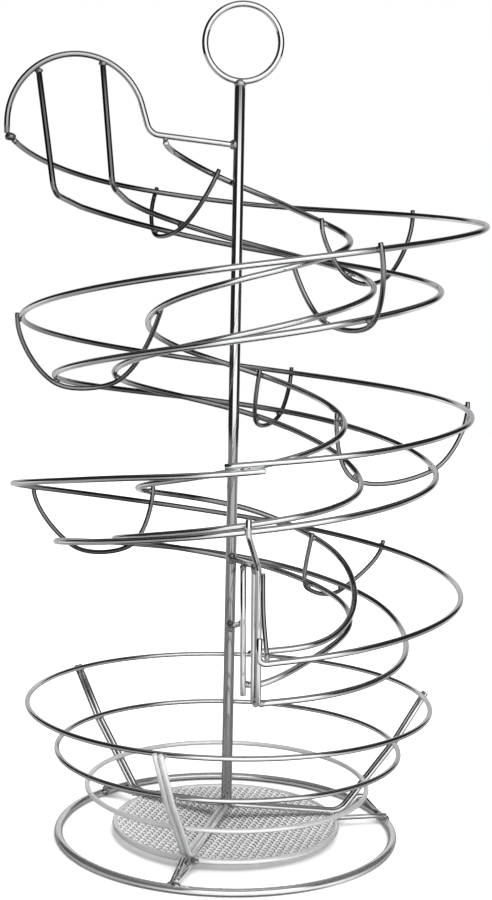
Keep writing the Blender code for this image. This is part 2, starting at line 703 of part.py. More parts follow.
def flat_plate(name, outlines, thickness, z, collection):
    """A level plate from an outer outline and the outlines of its gaps."""
    curve = bpy.data.curves.new(name, "CURVE")
    curve.dimensions = "2D"
    curve.fill_mode = "BOTH"
    curve.extrude = thickness / 2
    for outline in outlines:
        spline = curve.splines.new("POLY")
        spline.points.add(len(outline) - 1)
        for control, point in zip(spline.points, outline):
            control.co = (point.x, point.y, 0.0, 1.0)
        spline.use_cyclic_u = True
    guide = bpy.data.objects.new(name, curve)
    bpy.context.scene.collection.objects.link(guide)
    bpy.context.view_layer.update()
    evaluated = guide.evaluated_get(bpy.context.evaluated_depsgraph_get())
    mesh = bpy.data.meshes.new_from_object(evaluated)
    bpy.data.objects.remove(guide, do_unlink=True)
    work = bmesh.new()
    work.from_mesh(mesh)
    bmesh.ops.remove_doubles(work, verts=work.verts, dist=GAP / 30)
    bmesh.ops.recalc_face_normals(work, faces=work.faces)
    work.to_mesh(mesh)
    work.free()
    obj = bpy.data.objects.new(name, mesh)
    obj.location.z = z
    bpy.context.scene.collection.objects.link(obj)
    return finish(name, obj, collection, steel_mesh(name))


def build_tray(collection):
    """The tray's rim, and a flat net of square gaps that fills it."""
    z = foot_height()
    ring("tray_rim", TRAY_RADIUS, z, TRAY_WIRE, collection)
    outer = TRAY_RADIUS - TRAY_WIRE / 2 - GAP
    border = outer - MESH_STRAND
    half = (MESH_PITCH - MESH_STRAND) / 2
    circle = []
    for i in range(WIRE_SEGMENTS):
        angle = 2 * math.pi * i / WIRE_SEGMENTS
        circle.append(Vector((outer * math.cos(angle), outer * math.sin(angle))))
    outlines = [circle]
    reach = math.ceil(border / MESH_PITCH)
    for column in range(-reach, reach + 1):
        for row in range(-reach, reach + 1):
            middle = Vector((column * MESH_PITCH, row * MESH_PITCH))
            square = [middle + Vector((sx * half, sy * half))
                      for sx, sy in ((-1, -1), (1, -1), (1, 1), (-1, 1))]
            gap = clipped_to_circle(square, border, WIRE_SEGMENTS)
            if gap and area_of(gap) > MESH_LEAST_SHARE * area_of(square):
                outlines.append(gap)
    flat_plate("mesh_tray", outlines, MESH_THICKNESS, z, collection)


def build_base(collection):
    """The base ring is a turned ten-sided section, so that a flat band rests on the floor."""
    apothem = base_top() / 2
    work = bmesh.new()
    verts = []
    for i in range(BASE_SIDES):
        angle = math.pi / BASE_SIDES - math.pi / 2 + 2 * math.pi * i / BASE_SIDES
        x = BASE_RADIUS + BASE_WIRE / 2 * math.cos(angle)
        verts.append(work.verts.new((x, 0.0, apothem + BASE_WIRE / 2 * math.sin(angle))))
    for a, b in zip(verts, verts[1:] + verts[:1]):
        work.edges.new((a, b))
    bmesh.ops.spin(work, geom=work.verts[:] + work.edges[:], cent=(0, 0, 0), axis=(0, 0, 1),
                   angle=2 * math.pi, steps=WIRE_SEGMENTS, use_merge=True)
    bmesh.ops.remove_doubles(work, verts=work.verts, dist=GAP / 30)
    bmesh.ops.recalc_face_normals(work, faces=work.faces)
    mesh = bpy.data.meshes.new("base_ring")
    work.to_mesh(mesh)
    work.free()
    obj = bpy.data.objects.new("base_ring", mesh)
    bpy.context.scene.collection.objects.link(obj)
    finish("base_ring", obj, collection, chrome("base_ring"))


def build_legs(collection):
    """Each leg runs down the outside of its rib pair, and its other end stands on the base."""
    profile = rib_profile()
    along = (profile[1] - profile[2]).normalized()
    pair_offset = (RIB_WIRE + GAP) / 2
    touch = (RIB_WIRE + LEG_WIRE) / 2 + GAP
    reach = math.sqrt(touch * touch - pair_offset * pair_offset)
    beside_knee = profile[2] + Vector((along.y, -along.x)) * reach
    z = foot_height()
    start = beside_knee + along * ((z - beside_knee.y) / along.y)
    names = ("front", "right", "rear")
    rows = zip(names, RIB_AZIMUTHS, LEG_APEX_HEIGHTS, FOOT_BAR_SIDES)
    for name, azimuth, apex_z, side in rows:
        apex = start + along * ((apex_z - z) / along.y)
        points = [turned(p.x, p.y, azimuth, 0.0) for p in (start, apex)]
        base_end = turned(BASE_RADIUS, base_top() / 2, azimuth, 0.0)
        points.append(between(points[1], base_end, 0.0, BASE_WIRE / 2 + GAP)[1])
        wire(f"leg_{name}", rounded(points, LEG_BEND), LEG_WIRE, collection)
        sideways = side * (LEG_WIRE + GAP)
        inner = TRAY_RADIUS + TRAY_WIRE / 2 + GAP
        bar = [turned(inner, z, azimuth, sideways),
               turned(BASE_RADIUS, z, azimuth, sideways)]
        wire(f"foot_bar_{name}", bar, LEG_WIRE, collection)


def stand_on_origin(collection):
    for obj in collection.objects:
        obj.location.x -= TRACK_AXIS_X
        obj.location.y -= TRACK_AXIS_Y


def main():
    reset_scene()
    collection = make_collection("rolling_egg_dispenser")
    build_post(collection)
    build_handle(collection)
    build_arch(collection)
    build_top_rails(collection)
    build_floor_rail("outer_floor_rail", OUTER_FLOOR, OUTER_UPRIGHT_SHIFT, STOP_OUTER_X, collection)
    build_floor_rail("inner_floor_rail", INNER_FLOOR, INNER_UPRIGHT_SHIFT, STOP_INNER_X, collection)
    build_cradles(collection)
    build_ties(collection)
    build_stop_frame(collection)
    build_rings(collection)
    build_ribs(collection)
    build_tray(collection)
    build_base(collection)
    build_legs(collection)
    stand_on_origin(collection)
    bpy.context.view_layer.update()


main()
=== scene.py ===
"""The looks of the rolling egg dispenser: plated round wire, weld beads and a woven tray.

Metres, +Z up, -Y is the front. The wires are laid out about the post, as on the real rack,
and then moved so that the middle of the rack stands on the origin. A turn angle along the
channel is counted in quarter turns from the left side, clockwise seen from above.
"""
import math

import bpy
from mathutils import Matrix, Vector, noise


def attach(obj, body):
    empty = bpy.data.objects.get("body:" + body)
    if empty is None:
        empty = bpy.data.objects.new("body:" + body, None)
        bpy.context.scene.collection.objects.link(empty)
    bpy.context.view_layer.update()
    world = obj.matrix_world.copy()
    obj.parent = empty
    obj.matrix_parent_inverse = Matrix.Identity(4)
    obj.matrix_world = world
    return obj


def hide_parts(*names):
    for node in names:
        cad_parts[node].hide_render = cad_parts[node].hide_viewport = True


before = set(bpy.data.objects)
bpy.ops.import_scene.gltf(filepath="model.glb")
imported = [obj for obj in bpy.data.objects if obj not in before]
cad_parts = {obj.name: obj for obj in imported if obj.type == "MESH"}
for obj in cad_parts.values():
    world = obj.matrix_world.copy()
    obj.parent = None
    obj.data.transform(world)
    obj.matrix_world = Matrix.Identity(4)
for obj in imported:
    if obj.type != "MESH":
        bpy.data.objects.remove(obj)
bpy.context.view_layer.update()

MM = 0.001

# Clearance between two pieces that touch or are welded on the real rack
GAP = 0.3 * MM

# Central post, which leans a little to the left, and its ring handle
POST_DIA = 5.5 * MM
POST_TOP_Z = 378.0 * MM
POST_LEAN_X = -2.4 * MM
HANDLE_OUTER_DIA = 40.6 * MM
HANDLE_WIRE = 3.2 * MM
HANDLE_SHIFT_X = 1.0 * MM

# Spiral channel: its axis stands a little in front of the post
TRACK_AXIS_X = 2.4 * MM
TRACK_AXIS_Y = -12.0 * MM
TRACK_START_Z = 350.0 * MM
TRACK_PITCH = 87.7 * MM
TRACK_DEPTH = 27.0 * MM
OUTER_TOP_RADIUS = 111.0 * MM
CHANNEL_WIDTH = 60.0 * MM
INNER_TOP_RADIUS = OUTER_TOP_RADIUS - CHANNEL_WIDTH
OUTER_FLOOR_INSET = 18.0 * MM
INNER_FLOOR_OUTSET = 10.0 * MM
OUTER_FLOOR_RADIUS = OUTER_TOP_RADIUS - OUTER_FLOOR_INSET
INNER_FLOOR_RADIUS = INNER_TOP_RADIUS + INNER_FLOOR_OUTSET
RAIL_WIRE = 3.0 * MM
LAST_LEFT_QUARTER = 8
QUARTERS = 4
QUARTER_DEGREES = 90.0
RAIL_STEP_DEGREES = 11.25
RAIL_STEP = RAIL_STEP_DEGREES / QUARTER_DEGREES

# The rails are bent by hand. Each row is a quarter turn, the share of the rail's radius
# there, and the share of the pitch by which the rail lies above its even spiral.
OUTER_TOP_SHARES = (
    (0.07, 1.052, 0.0), (0.5, 1.05, -0.02), (1.0, 1.02, 0.01), (1.5, 1.03, 0.065),
    (2.0, 1.05, 0.07), (2.5, 1.02, 0.03), (3.0, 1.0, 0.0), (4.0, 0.97, -0.035),
    (5.0, 0.995, -0.035), (6.0, 1.015, 0.02), (7.0, 0.995, 0.035), (8.0, 1.0, 0.045),
    (9.0, 0.99, -0.015), (10.0, 1.0, 0.005), (10.5, 0.98, 0.037), (10.9, 0.975, 0.067),
)
INNER_TOP_SHARES = (
    (0.18, 0.835, 0.035), (0.5, 0.93, 0.065), (1.0, 0.98, 0.035), (1.5, 0.95, -0.015),
    (2.0, 1.0, -0.035), (3.0, 0.98, -0.035), (4.0, 0.92, -0.035), (5.0, 0.98, -0.035),
    (6.0, 1.0, -0.06), (7.0, 1.0, -0.035), (8.0, 0.985, 0.04), (9.0, 1.05, 0.125),
    (9.5, 1.13, 0.09), (10.0, 1.14, 0.025), (10.5, 1.22, -0.06), (10.9, 1.12, -0.015),
)
OUTER_FLOOR_SHARES = (
    (0.09, 1.04, 0.02), (0.5, 1.02, 0.035), (1.0, 1.015, 0.025), (2.0, 1.03, 0.015),
    (3.0, 1.005, -0.04), (4.0, 0.985, -0.035), (5.2, 1.0, 0.04), (6.0, 1.04, -0.005),
    (7.0, 1.01, 0.01), (8.0, 0.965, 0.035), (9.0, 1.0, 0.055), (9.5, 0.97, 0.04),
    (10.0, 0.915, 0.02), (10.5, 0.94, 0.055), (10.9, 0.93, 0.11),
)
INNER_FLOOR_SHARES = (
    (0.11, 1.11, 0.07), (0.5, 1.14, 0.06), (1.0, 1.055, 0.035), (2.0, 1.04, 0.015),
    (3.0, 1.0, -0.015), (4.0, 1.03, -0.01), (5.0, 1.0, 0.01), (6.0, 0.985, -0.08),
    (7.0, 1.0, -0.01), (8.0, 1.005, 0.055), (9.0, 1.015, 0.095), (9.5, 1.01, 0.095),
    (10.0, 0.935, 0.11), (10.5, 0.84, 0.11), (10.86, 0.885, 0.102), (10.94, 0.9, 0.125),
)

# The outer top rail is two wires, lapped one above the other at the front of the second turn
LAP_FROM_DEGREES = 624.6
LAP_TO_DEGREES = 633.6
LAP_EASE_DEGREES = 40.5

# Backstop: an arch in the plane of the post, with the floor rails turned up to meet it
ARCH_WIRE = 3.0 * MM
ARCH_RADIUS = 34.0 * MM
ARCH_CENTRE_Z = 357.0 * MM
ARCH_END_DROP = 5.5 * MM
ARCH_SWEEP_DEGREES = 162.0
ARCH_STEPS = 60
ARCH_TAIL_SHIFT = 36.6 * MM
ARCH_TAIL_Z = 348.9 * MM
ARCH_TAIL_RISE = 4.2 * MM
ARCH_TAIL_BEND = 7.0 * MM
OUTER_UPRIGHT_SHIFT = -18.9 * MM
INNER_UPRIGHT_SHIFT = 12.8 * MM
UPRIGHT_BEND = 7.0 * MM
UPRIGHT_LEAD_DEGREES = 18.0

# U-shaped cradles, each seated on the four rails. A row is the quarter turn of its seat on
# the outer top, outer floor, inner floor and inner top rail.
CRADLE_WIRE = 2.4 * MM
CRADLE_TIP = 3.0 * MM
CRADLE_STEPS = 6
CRADLE_ROUNDS = 16
CRADLE_PULL = 0.86
CRADLE_SIDES = (1, 1, -1, -1)
CRADLE_TILTS = (0.0, 62.0, 62.0, 0.0)
QUARTER_SHARES = (0.0, 0.25, 0.5, 0.75)
CRADLE_QUARTERS = (
    (0.715, 0.655, 0.665, 0.78), (1.56, 1.58, 1.66, 1.63), (2.67, 2.61, 2.6, 2.69),
    (3.955, 4.03, 4.03, 3.715), (5.16, 5.15, 5.095, 5.125), (5.92, 5.94, 5.9, 5.93),
    (8.21, 8.23, 8.24, 8.26), (9.5, 9.44, 9.44, 9.5),
)

# Ties from the post to the inner top rail: height on the post and quarter turn on the rail
TIE_WIRE = 2.4 * MM
TIE_UPPER_Z = 326.0 * MM
TIE_MIDDLE_Z = 246.5 * MM
TIE_LOWER_Z = 169.0 * MM
TIE_QUARTERS = (0.9, 4.93, 8.97)

# Stop frame at the end of the channel
STOP_WIRE = 2.8 * MM
STOP_OUTER_X = 12.8 * MM
STOP_OUTER_LEAN = -1.2 * MM
STOP_OUTER_BELOW = 0.5 * MM
STOP_INNER_X = 6.4 * MM
STOP_INNER_LEAN = -1.5 * MM
STOP_INNER_BELOW = 5.2 * MM
STOP_ARM_Z = 142.2 * MM
STOP_ARM_RISE = 12.2 * MM
STOP_ARM_BEND = 3.0 * MM
STOP_ARM_TURN = math.radians(132.0)
STOP_BRACE_Z = 107.0 * MM
STOP_BRACE_RISE = 16.0 * MM
STOP_BEND = 8.0 * MM
HANGER_DEGREES = 627.7
HANGER_TIP = 6.0 * MM
HANGER_BEND_BELOW = 1.0 * MM
HANGER_RUN = 17.0 * MM
END_WIRE = 2.2 * MM
END_WIRE_TURN = math.radians(-50.0)
END_WIRE_TOP_BELOW = 1.0 * MM
END_WIRE_BULGE = -0.7 * MM
END_WIRE_STEPS = 10
END_WIRE_FOOT = 3.4 * MM
END_RAIL_X = 12.2 * MM
END_TURN_UP = 11.5 * MM
END_BEND = 3.0 * MM

# Basket: three rings, three double-wire ribs that run in as spokes, and the mesh tray
TRAY_RADIUS = 56.8 * MM
TRAY_WIRE = 2.8 * MM
LOWER_RING_OUTSET = 14.6 * MM
LOWER_RING_RADIUS = TRAY_RADIUS + LOWER_RING_OUTSET
LOWER_RING_Z = 25.8 * MM
MIDDLE_RING_OUTSET = 15.6 * MM
MIDDLE_RING_RADIUS = LOWER_RING_RADIUS + MIDDLE_RING_OUTSET
MIDDLE_RING_Z = 45.4 * MM
RIM_OUTSET = 15.0 * MM
RIM_RADIUS = MIDDLE_RING_RADIUS + RIM_OUTSET
RIM_Z = 69.5 * MM
RING_WIRE = 2.5 * MM
RIB_WIRE = 2.6 * MM
RIB_TIP = 2.5 * MM
RIB_BEND = 9.0 * MM
RIB_NAMES = ("front", "right", "rear")
RIB_AZIMUTHS = (-107.0, 12.0, 143.0)
SPOKE_Z = 14.5 * MM

# Base ring, legs and the foot bars that carry the tray. The legs are bent by hand, each to
# its own height, and each foot bar lies on one side of its leg. The ring's plain solid has
# ten sides, and its flat top carries the bars.
BASE_OUTSET = 28.7 * MM
BASE_RADIUS = TRAY_RADIUS + BASE_OUTSET
BASE_WIRE = 4.0 * MM
BASE_SIDES = 10
LEG_WIRE = 2.6 * MM
LEG_APEX_HEIGHTS = (10.0 * MM, 17.2 * MM, 10.0 * MM)
LEG_BEND = 3.0 * MM
FOOT_BAR_SIDES = (1, -1, -1)

# Look of the wires: how round and how finely stepped they are, and how their ends are
# rounded. A row is the way in from the tip and the reach there, as shares of the radius.
TUBE_SIDES = 16
RAIL_QUARTER_STEP = 0.025
END_STRAIGHT = 8.0 * MM
VISUAL_CRADLE_STEPS = 14
CORNER_STEPS = 12
RING_STEPS = 180
TIP_SHARES = ((0.0, 0.55), (0.07, 0.83), (0.22, 0.97), (0.4, 1.0))

# The smooth outer top rail bulges past its solid's straight steps, so it is drawn thinner
TOP_RAIL_LOSS = 0.16 * MM
TOP_RAIL_DRAWN = RAIL_WIRE - TOP_RAIL_LOSS

# Plating: a pair is the least and the most roughness. The edge tint dims the reflection at
# a grazing angle, as on chromium. Clouds vary shade and gloss, and a finer ripple is a bump.
BRIGHT = (0.9, 0.905, 0.91)
MIRROR_ROUGH = (0.05, 0.1)
EDGE_TINT = (0.52, 0.52, 0.53, 1.0)
CLOUD_DETAIL = 3.0
CLOUD_FROM = 0.3
CLOUD_TO = 0.7
RIPPLE_FINER = 6.0
RIPPLE_DETAIL = 2.0
RIPPLE_HEIGHT = 0.1 * MM

# Painted shade: the plating's colour is made darker over these depths and heights, towards
# the high wires at the back. A place to the right counts as nearer, by a share of its distance
# aside.
FAR_ASIDE_SHARE = 0.35
FAR_FROM = 0.0
FAR_TO = 70.0 * MM
HIGH_FROM = 90.0 * MM
HIGH_TO = 150.0 * MM

# Painted shade: the post's colour is darker below the middle, and the bars of the backstop
# are darker than the arch. A pair is the height where this starts and the height where it is
# full.
POST_SHADE_HEIGHTS = (230.0 * MM, 195.0 * MM)
POST_SHADE_LOSS = 0.42
BAR_SHADE_HEIGHTS = (318.0 * MM, 335.0 * MM)
BAR_SHADE_LOSS = 0.72

# Weld beads: how lumpy and how drawn out they are, and their radius at each kind of joint
BEAD_ROUGHNESS = 0.16
BEAD_NOISE = 900.0
BEAD_LONG = 1.35
BEAD_STEPS = 12
RING_BEAD = 1.25 * MM
END_WIRE_BEAD = 1.3 * MM
SMALL_BEAD = 1.4 * MM
RAIL_BEAD = 1.5 * MM
END_BEAD = 1.6 * MM
LEG_BEAD = 1.7 * MM
ARCH_TAIL_BEAD = 1.8 * MM
TIE_BEAD = 1.9 * MM
ARCH_START_BEAD = 2.0 * MM
POST_BEAD = 2.1 * MM
SPOKE_BEAD = 2.2 * MM
HANDLE_BEAD = 2.3 * MM
UPRIGHT_BEAD_LIFT = 0.7 * MM
ARCH_TAIL_RUN = Vector((1.0 * MM, -1.6 * MM, 0.0))
CRADLE_BEAD_LEAN = Vector((0.0, 0.3, 1.0))
SIDEWAYS = Vector((1.0, 0.0, 0.0))

# Woven tray: two sets of fine strands, square to each other and turned within the rim
WEAVE_PITCH = 2.5 * MM
WEAVE_STRAND = 0.85 * MM
WEAVE_TURN_DEGREES = 30.0
WEAVE_SIDES = 6
WEAVE_STEPS = 4
WEAVE_SAG = 0.3 * MM
# Painted shade: the strands are darker below the rim's height, down in the cells, to the least
# share
WEAVE_DARK_BELOW = 0.45 * MM
WEAVE_LIGHT_ABOVE = 0.25 * MM
WEAVE_LEAST = 0.22

# The wires are laid out about the post, and this moves the rack's middle onto the origin
TRACK_SHIFT = Vector((-TRACK_AXIS_X, -TRACK_AXIS_Y, 0.0))

# Camera at the photograph's viewpoint
CAMERA_PLACE = (-2.98 * MM, -706.14 * MM, 257.92 * MM)
CAMERA_PITCH_DEGREES = 4.808
CAMERA_YAW_DEGREES = 0.47
CAMERA_ROLL_DEGREES = 1.523
IMAGE_HEIGHT = 900
FOCAL_PIXELS = 1430.0
SENSOR_HEIGHT_MM = 36.0

# The room that the metal mirrors: bright in front, dim above, pale behind and dark aside.
# The front lies between two azimuths, and the other limits are parts of a unit direction.
ROOM_LEVEL = 0.02
FRONT_LEVEL = 1.3
FRONT_FROM = math.radians(-22.0)
FRONT_TO = math.radians(54.0)
FRONT_SOFT = 0.14
FRONT_LOW = -0.55
FRONT_HIGH = 0.72
TOP_LEVEL = 0.25
TOP_FROM = 0.8
TOP_TO = 0.98
BACK_LEVEL = 0.8
BACK_FROM = 0.72
BACK_TO = 0.92
WHITE = (1.0, 1.0, 1.0, 1.0)

# Floor: white to the camera with a shadow close under the rack, and in the metal dark when
# seen square on, bright at a slant, and dimmer aside than in front and far behind
FLOOR_HALF = 3.0
FLOOR_COLOUR = (0.8, 0.8, 0.8, 1.0)
FLOOR_ROUGHNESS = 0.9
FLOOR_GLOW = 0.8
FLOOR_NEAR = 16.0 * MM
FLOOR_SAMPLES = 8
UNDER_POWER = 1.3
STEEP_LEVEL = 0.03
SLANT_FROM = 0.12
SLANT_TO = 0.3
SLANT_LEVEL = 0.95
ASIDE_SHARE = 0.35
ASIDE_SOFT = 0.3
BEHIND_FROM = 0.1
BEHIND_TO = 0.5

# Key light, whose softness is the angle that it fills, in radians
KEY_AZIMUTH_DEGREES = 20.0
KEY_HEIGHT_DEGREES = 52.0
KEY_STRENGTH = 3.0
KEY_SOFTNESS = 0.5


# Layout of the wires

def upward(height):
    return Vector((0.0, 0.0, height))


def blend(rows, at, column):
    """The value of a column of a table at a place between its rows, on a smooth curve."""
    places = [row[0] for row in rows]
    values = [row[column] for row in rows]
    last = len(rows) - 1
    if at <= places[0]:
        return values[0]
    if at >= places[last]:
        return values[last]
    index = max(i for i in range(last) if places[i] <= at)

    def slope(i):
        low, high = max(i - 1, 0), min(i + 1, last)
        return (values[high] - values[low]) / (places[high] - places[low])

    width = places[index + 1] - places[index]
    t = (at - places[index]) / width
    start = (1 + 2 * t) * (1 - t) ** 2 * values[index] + t * (1 - t) ** 2 * width * slope(index)
    end = t * t * (3 - 2 * t) * values[index + 1] + t * t * (t - 1) * width * slope(index + 1)
    return start + end


def on_spiral(radius, quarter, z):
    """The point of a radius about the channel's axis at a quarter turn."""
    angle = math.radians(QUARTER_DEGREES * quarter)
    x = TRACK_AXIS_X - radius * math.cos(angle)
    y = TRACK_AXIS_Y + radius * math.sin(angle)
    return Vector((x, y, z))


def even_height(quarter, drop):
    """The height of an even spiral at a quarter turn, this far below the top rails' own."""
    return TRACK_START_Z - drop - TRACK_PITCH * quarter / QUARTERS


class Rail:
    """One wire of the channel: its radius, its depth below the top rails and its bends."""

    def __init__(self, radius, drop, shares):
        self.radius = radius
        self.drop = drop
        self.shares = shares

    def point(self, quarter):
        radius = self.radius * blend(self.shares, quarter, 1)
        lift = TRACK_PITCH * blend(self.shares, quarter, 2)
        return on_spiral(radius, quarter, even_height(quarter, self.drop) + lift)

    def end_at(self, x):
        """The quarter turn at the front of the last turn where the rail reaches an x."""
        radius = self.radius * self.shares[-1][1]
        turn = math.degrees(math.acos((TRACK_AXIS_X - x) / radius))
        return LAST_LEFT_QUARTER + QUARTERS - turn / QUARTER_DEGREES

    def frame(self, quarter):
        """A point on the bent wire, with its level outward side and its underside."""
        index = math.floor(quarter / RAIL_STEP)
        low = self.point(index * RAIL_STEP)
        high = self.point((index + 1) * RAIL_STEP)
        along = (high - low).normalized()
        outward = Vector((-along.y, along.x, 0.0)).normalized()
        below = outward.cross(along)
        if below.z > 0:
            below.negate()
        return low.lerp(high, quarter / RAIL_STEP - index), outward, below

    def outside(self, quarter, diameter):
        """The centre of a wire that runs against the outside of the rail."""
        point, outward, _ = self.frame(quarter)
        return point + outward * ((RAIL_WIRE + diameter) / 2 + GAP)


OUTER_TOP = Rail(OUTER_TOP_RADIUS, 0.0, OUTER_TOP_SHARES)
INNER_TOP = Rail(INNER_TOP_RADIUS, 0.0, INNER_TOP_SHARES)
OUTER_FLOOR = Rail(OUTER_FLOOR_RADIUS, TRACK_DEPTH, OUTER_FLOOR_SHARES)
INNER_FLOOR = Rail(INNER_FLOOR_RADIUS, TRACK_DEPTH, INNER_FLOOR_SHARES)


def rounded(points, radius):
    """The polyline with each inner corner turned into an arc of the radius."""
    path = [points[0]]
    for before, corner, after in zip(points, points[1:], points[2:]):
        back = (before - corner).normalized()
        ahead = (after - corner).normalized()
        half = back.angle(ahead) / 2
        length = radius / math.tan(half)
        centre = corner + (back + ahead).normalized() * (radius / math.sin(half))
        first = corner + back * length - centre
        second = corner + ahead * length - centre
        for i in range(CORNER_STEPS + 1):
            direction = first.normalized().slerp(second.normalized(), i / CORNER_STEPS)
            path.append(centre + direction * radius)
    path.append(points[-1])
    return path


def smooth_path(points, steps):
    """A smooth curve through the points, with this many steps between each two."""
    path = []
    last = len(points) - 1
    for i in range(last):
        p0 = points[max(i - 1, 0)]
        p1 = points[i]
        p2 = points[i + 1]
        p3 = points[min(i + 2, last)]
        for step in range(steps):
            t = step / steps
            a = 2 * p1
            b = p2 - p0
            c = 2 * p0 - 5 * p1 + 4 * p2 - p3
            d = 3 * p1 - p0 - 3 * p2 + p3
            path.append((a + b * t + c * t * t + d * t ** 3) / 2)
    path.append(points[last])
    return path


def arch_centre_x():
    """The arch's left end runs just outside the start of the outer top rail."""
    start = OUTER_TOP.point(OUTER_TOP_SHARES[0][0])
    return start.x - (RAIL_WIRE + ARCH_WIRE) / 2 - GAP + ARCH_RADIUS


def arch_inner_z(x):
    """The height at which an upright of rail wire at x stops short of the arch."""
    reach = ARCH_RADIUS - ARCH_WIRE / 2 - GAP
    offset = abs(x - arch_centre_x()) + RAIL_WIRE / 2
    return ARCH_CENTRE_Z + math.sqrt(reach * reach - offset * offset)


def on_post(z):
    """The post's centre line at a height: it leans from the foot to the top."""
    return Vector((POST_LEAN_X * (z - SPOKE_Z) / (POST_TOP_Z - SPOKE_Z), 0.0, z))


def steps_near(rail, quarter):
    """The bend points of a rail round a quarter turn."""
    index = math.floor(quarter / RAIL_STEP)
    return [rail.point(i * RAIL_STEP) for i in range(index - 1, index + 4)]


def clearance(path, steps):
    """The least distance from a fine path to the straight steps of a bent wire."""
    least = math.inf
    fine = [a.lerp(b, share) for a, b in zip(path, path[1:]) for share in QUARTER_SHARES]
    for low, high in zip(steps, steps[1:]):
        run = high - low
        for point in fine:
            share = min(max((point - low).dot(run) / run.dot(run), 0.0), 1.0)
            least = min(least, (point - low - run * share).length)
    return least


def curve_through(points, tangents, steps):
    """A smooth curve through the points with a given direction at each."""
    path = []
    for a, b, leave, arrive in zip(points, points[1:], tangents, tangents[1:]):
        pull = (b - a).length * CRADLE_PULL
        for i in range(steps):
            t = i / steps
            path.append(a * ((1 + 2 * t) * (1 - t) ** 2) + leave * (pull * t * (1 - t) ** 2)
                        + b * (t * t * (3 - 2 * t)) + arrive * (pull * t * t * (t - 1)))
    path.append(points[-1])
    return path


def cradle_path(quarters):
    """A U outside both top rails and under both floor rails, seated on all four."""
    rails = (OUTER_TOP, OUTER_FLOOR, INNER_FLOOR, INNER_TOP)
    centres = []
    aways = []
    steps = []
    for rail, quarter, side, tilt in zip(rails, quarters, CRADLE_SIDES, CRADLE_TILTS):
        point, outward, below = rail.frame(quarter)
        angle = math.radians(tilt)
        centres.append(point)
        aways.append(outward * (side * math.cos(angle)) + below * math.sin(angle))
        steps.append(steps_near(rail, quarter))
    touch = (RAIL_WIRE + CRADLE_WIRE) / 2 + GAP
    reaches = [touch] * len(rails)
    tip = upward(CRADLE_TIP)
    for _ in range(CRADLE_ROUNDS):
        seats = [c + a * reach for c, a, reach in zip(centres, aways, reaches)]
        ends = [seats[0] + tip] + seats + [seats[-1] + tip]
        tangents = []
        for before, after, away in zip(ends, ends[2:], aways):
            run = after - before
            tangents.append((run - away * run.dot(away)).normalized())
        path = curve_through(seats, tangents, CRADLE_STEPS)
        reaches = [reach + touch - clearance(path, near) for reach, near in zip(reaches, steps)]
    path = curve_through(seats, tangents, VISUAL_CRADLE_STEPS)
    path = [path[0] - tangents[0] * CRADLE_TIP] + path + [path[-1] + tangents[-1] * CRADLE_TIP]
    return path, seats, centres


def between(start, end, start_clear, end_clear):
    """A straight run that stops short of the two centres that it joins."""
    along = (end - start).normalized()
    return [start + along * start_clear, end - along * end_clear]


def post_clear(start, end, diameter):
    """How far from the post's centre line a slanted wire's end must stay."""
    run = end - start
    level = math.hypot(run.x, run.y)
    slope = abs(run.z) / level
    return (POST_DIA / 2 + GAP + slope * diameter / 2) * run.length / level


def stop_foot(rail, x):
    """The point near the end of a rail, at the front of the last turn, at an x."""
    return rail.point(rail.end_at(x))


def beside_upright(turn, diameter):
    """The step from the outer upright's centre line to a wire that runs against it."""
    reach = (STOP_WIRE + diameter) / 2 + GAP
    return Vector((math.cos(turn), math.sin(turn), 0.0)) * reach


def turned(radius, z, azimuth, sideways):
    """A point at a radius from the post, shifted square to its azimuth."""
    angle = math.radians(azimuth)
    out = Vector((math.cos(angle), math.sin(angle), 0.0))
    side = Vector((-math.sin(angle), math.cos(angle), 0.0))
    return out * radius + side * sideways + upward(z)


def cross(a, b):
    """The cross product of two flat vectors."""
    return a.x * b.y - a.y * b.x


def base_top():
    """The height of the flat top of the base ring's plain solid."""
    return BASE_WIRE * math.cos(math.pi / BASE_SIDES)


def foot_height():
    """The foot bars lie on the base ring, and the tray's rim is level with them."""
    return base_top() + GAP + LEG_WIRE / 2


def rib_profile():
    """The rib's centre line in radius and height, on the outside of the three rings."""
    rings = ((RIM_RADIUS, RIM_Z), (MIDDLE_RING_RADIUS, MIDDLE_RING_Z),
             (LOWER_RING_RADIUS, LOWER_RING_Z))
    reach = (RING_WIRE + RIB_WIRE) / 2 + GAP
    profile = []
    for index, (radius, z) in enumerate(rings):
        low, high = rings[max(index - 1, 0)], rings[min(index + 1, 2)]
        slant = Vector((low[0] - high[0], low[1] - high[1])).normalized()
        profile.append(Vector((radius, z)) + Vector((slant.y, -slant.x)) * reach)
    tip = (profile[0] - profile[1]).normalized() * RIB_TIP
    down = (profile[2] - profile[1]).normalized()
    inner_end = Vector((POST_DIA / 2 + GAP, SPOKE_Z))
    over_tray = Vector((TRAY_RADIUS, foot_height() + (TRAY_WIRE + RIB_WIRE) / 2 + GAP))
    spoke = (over_tray - inner_end).normalized()
    apart = inner_end - profile[2]
    knee = profile[2] + down * (cross(apart, spoke) / cross(down, spoke))
    return [profile[0] + tip, profile[1], knee, inner_end]


# Materials

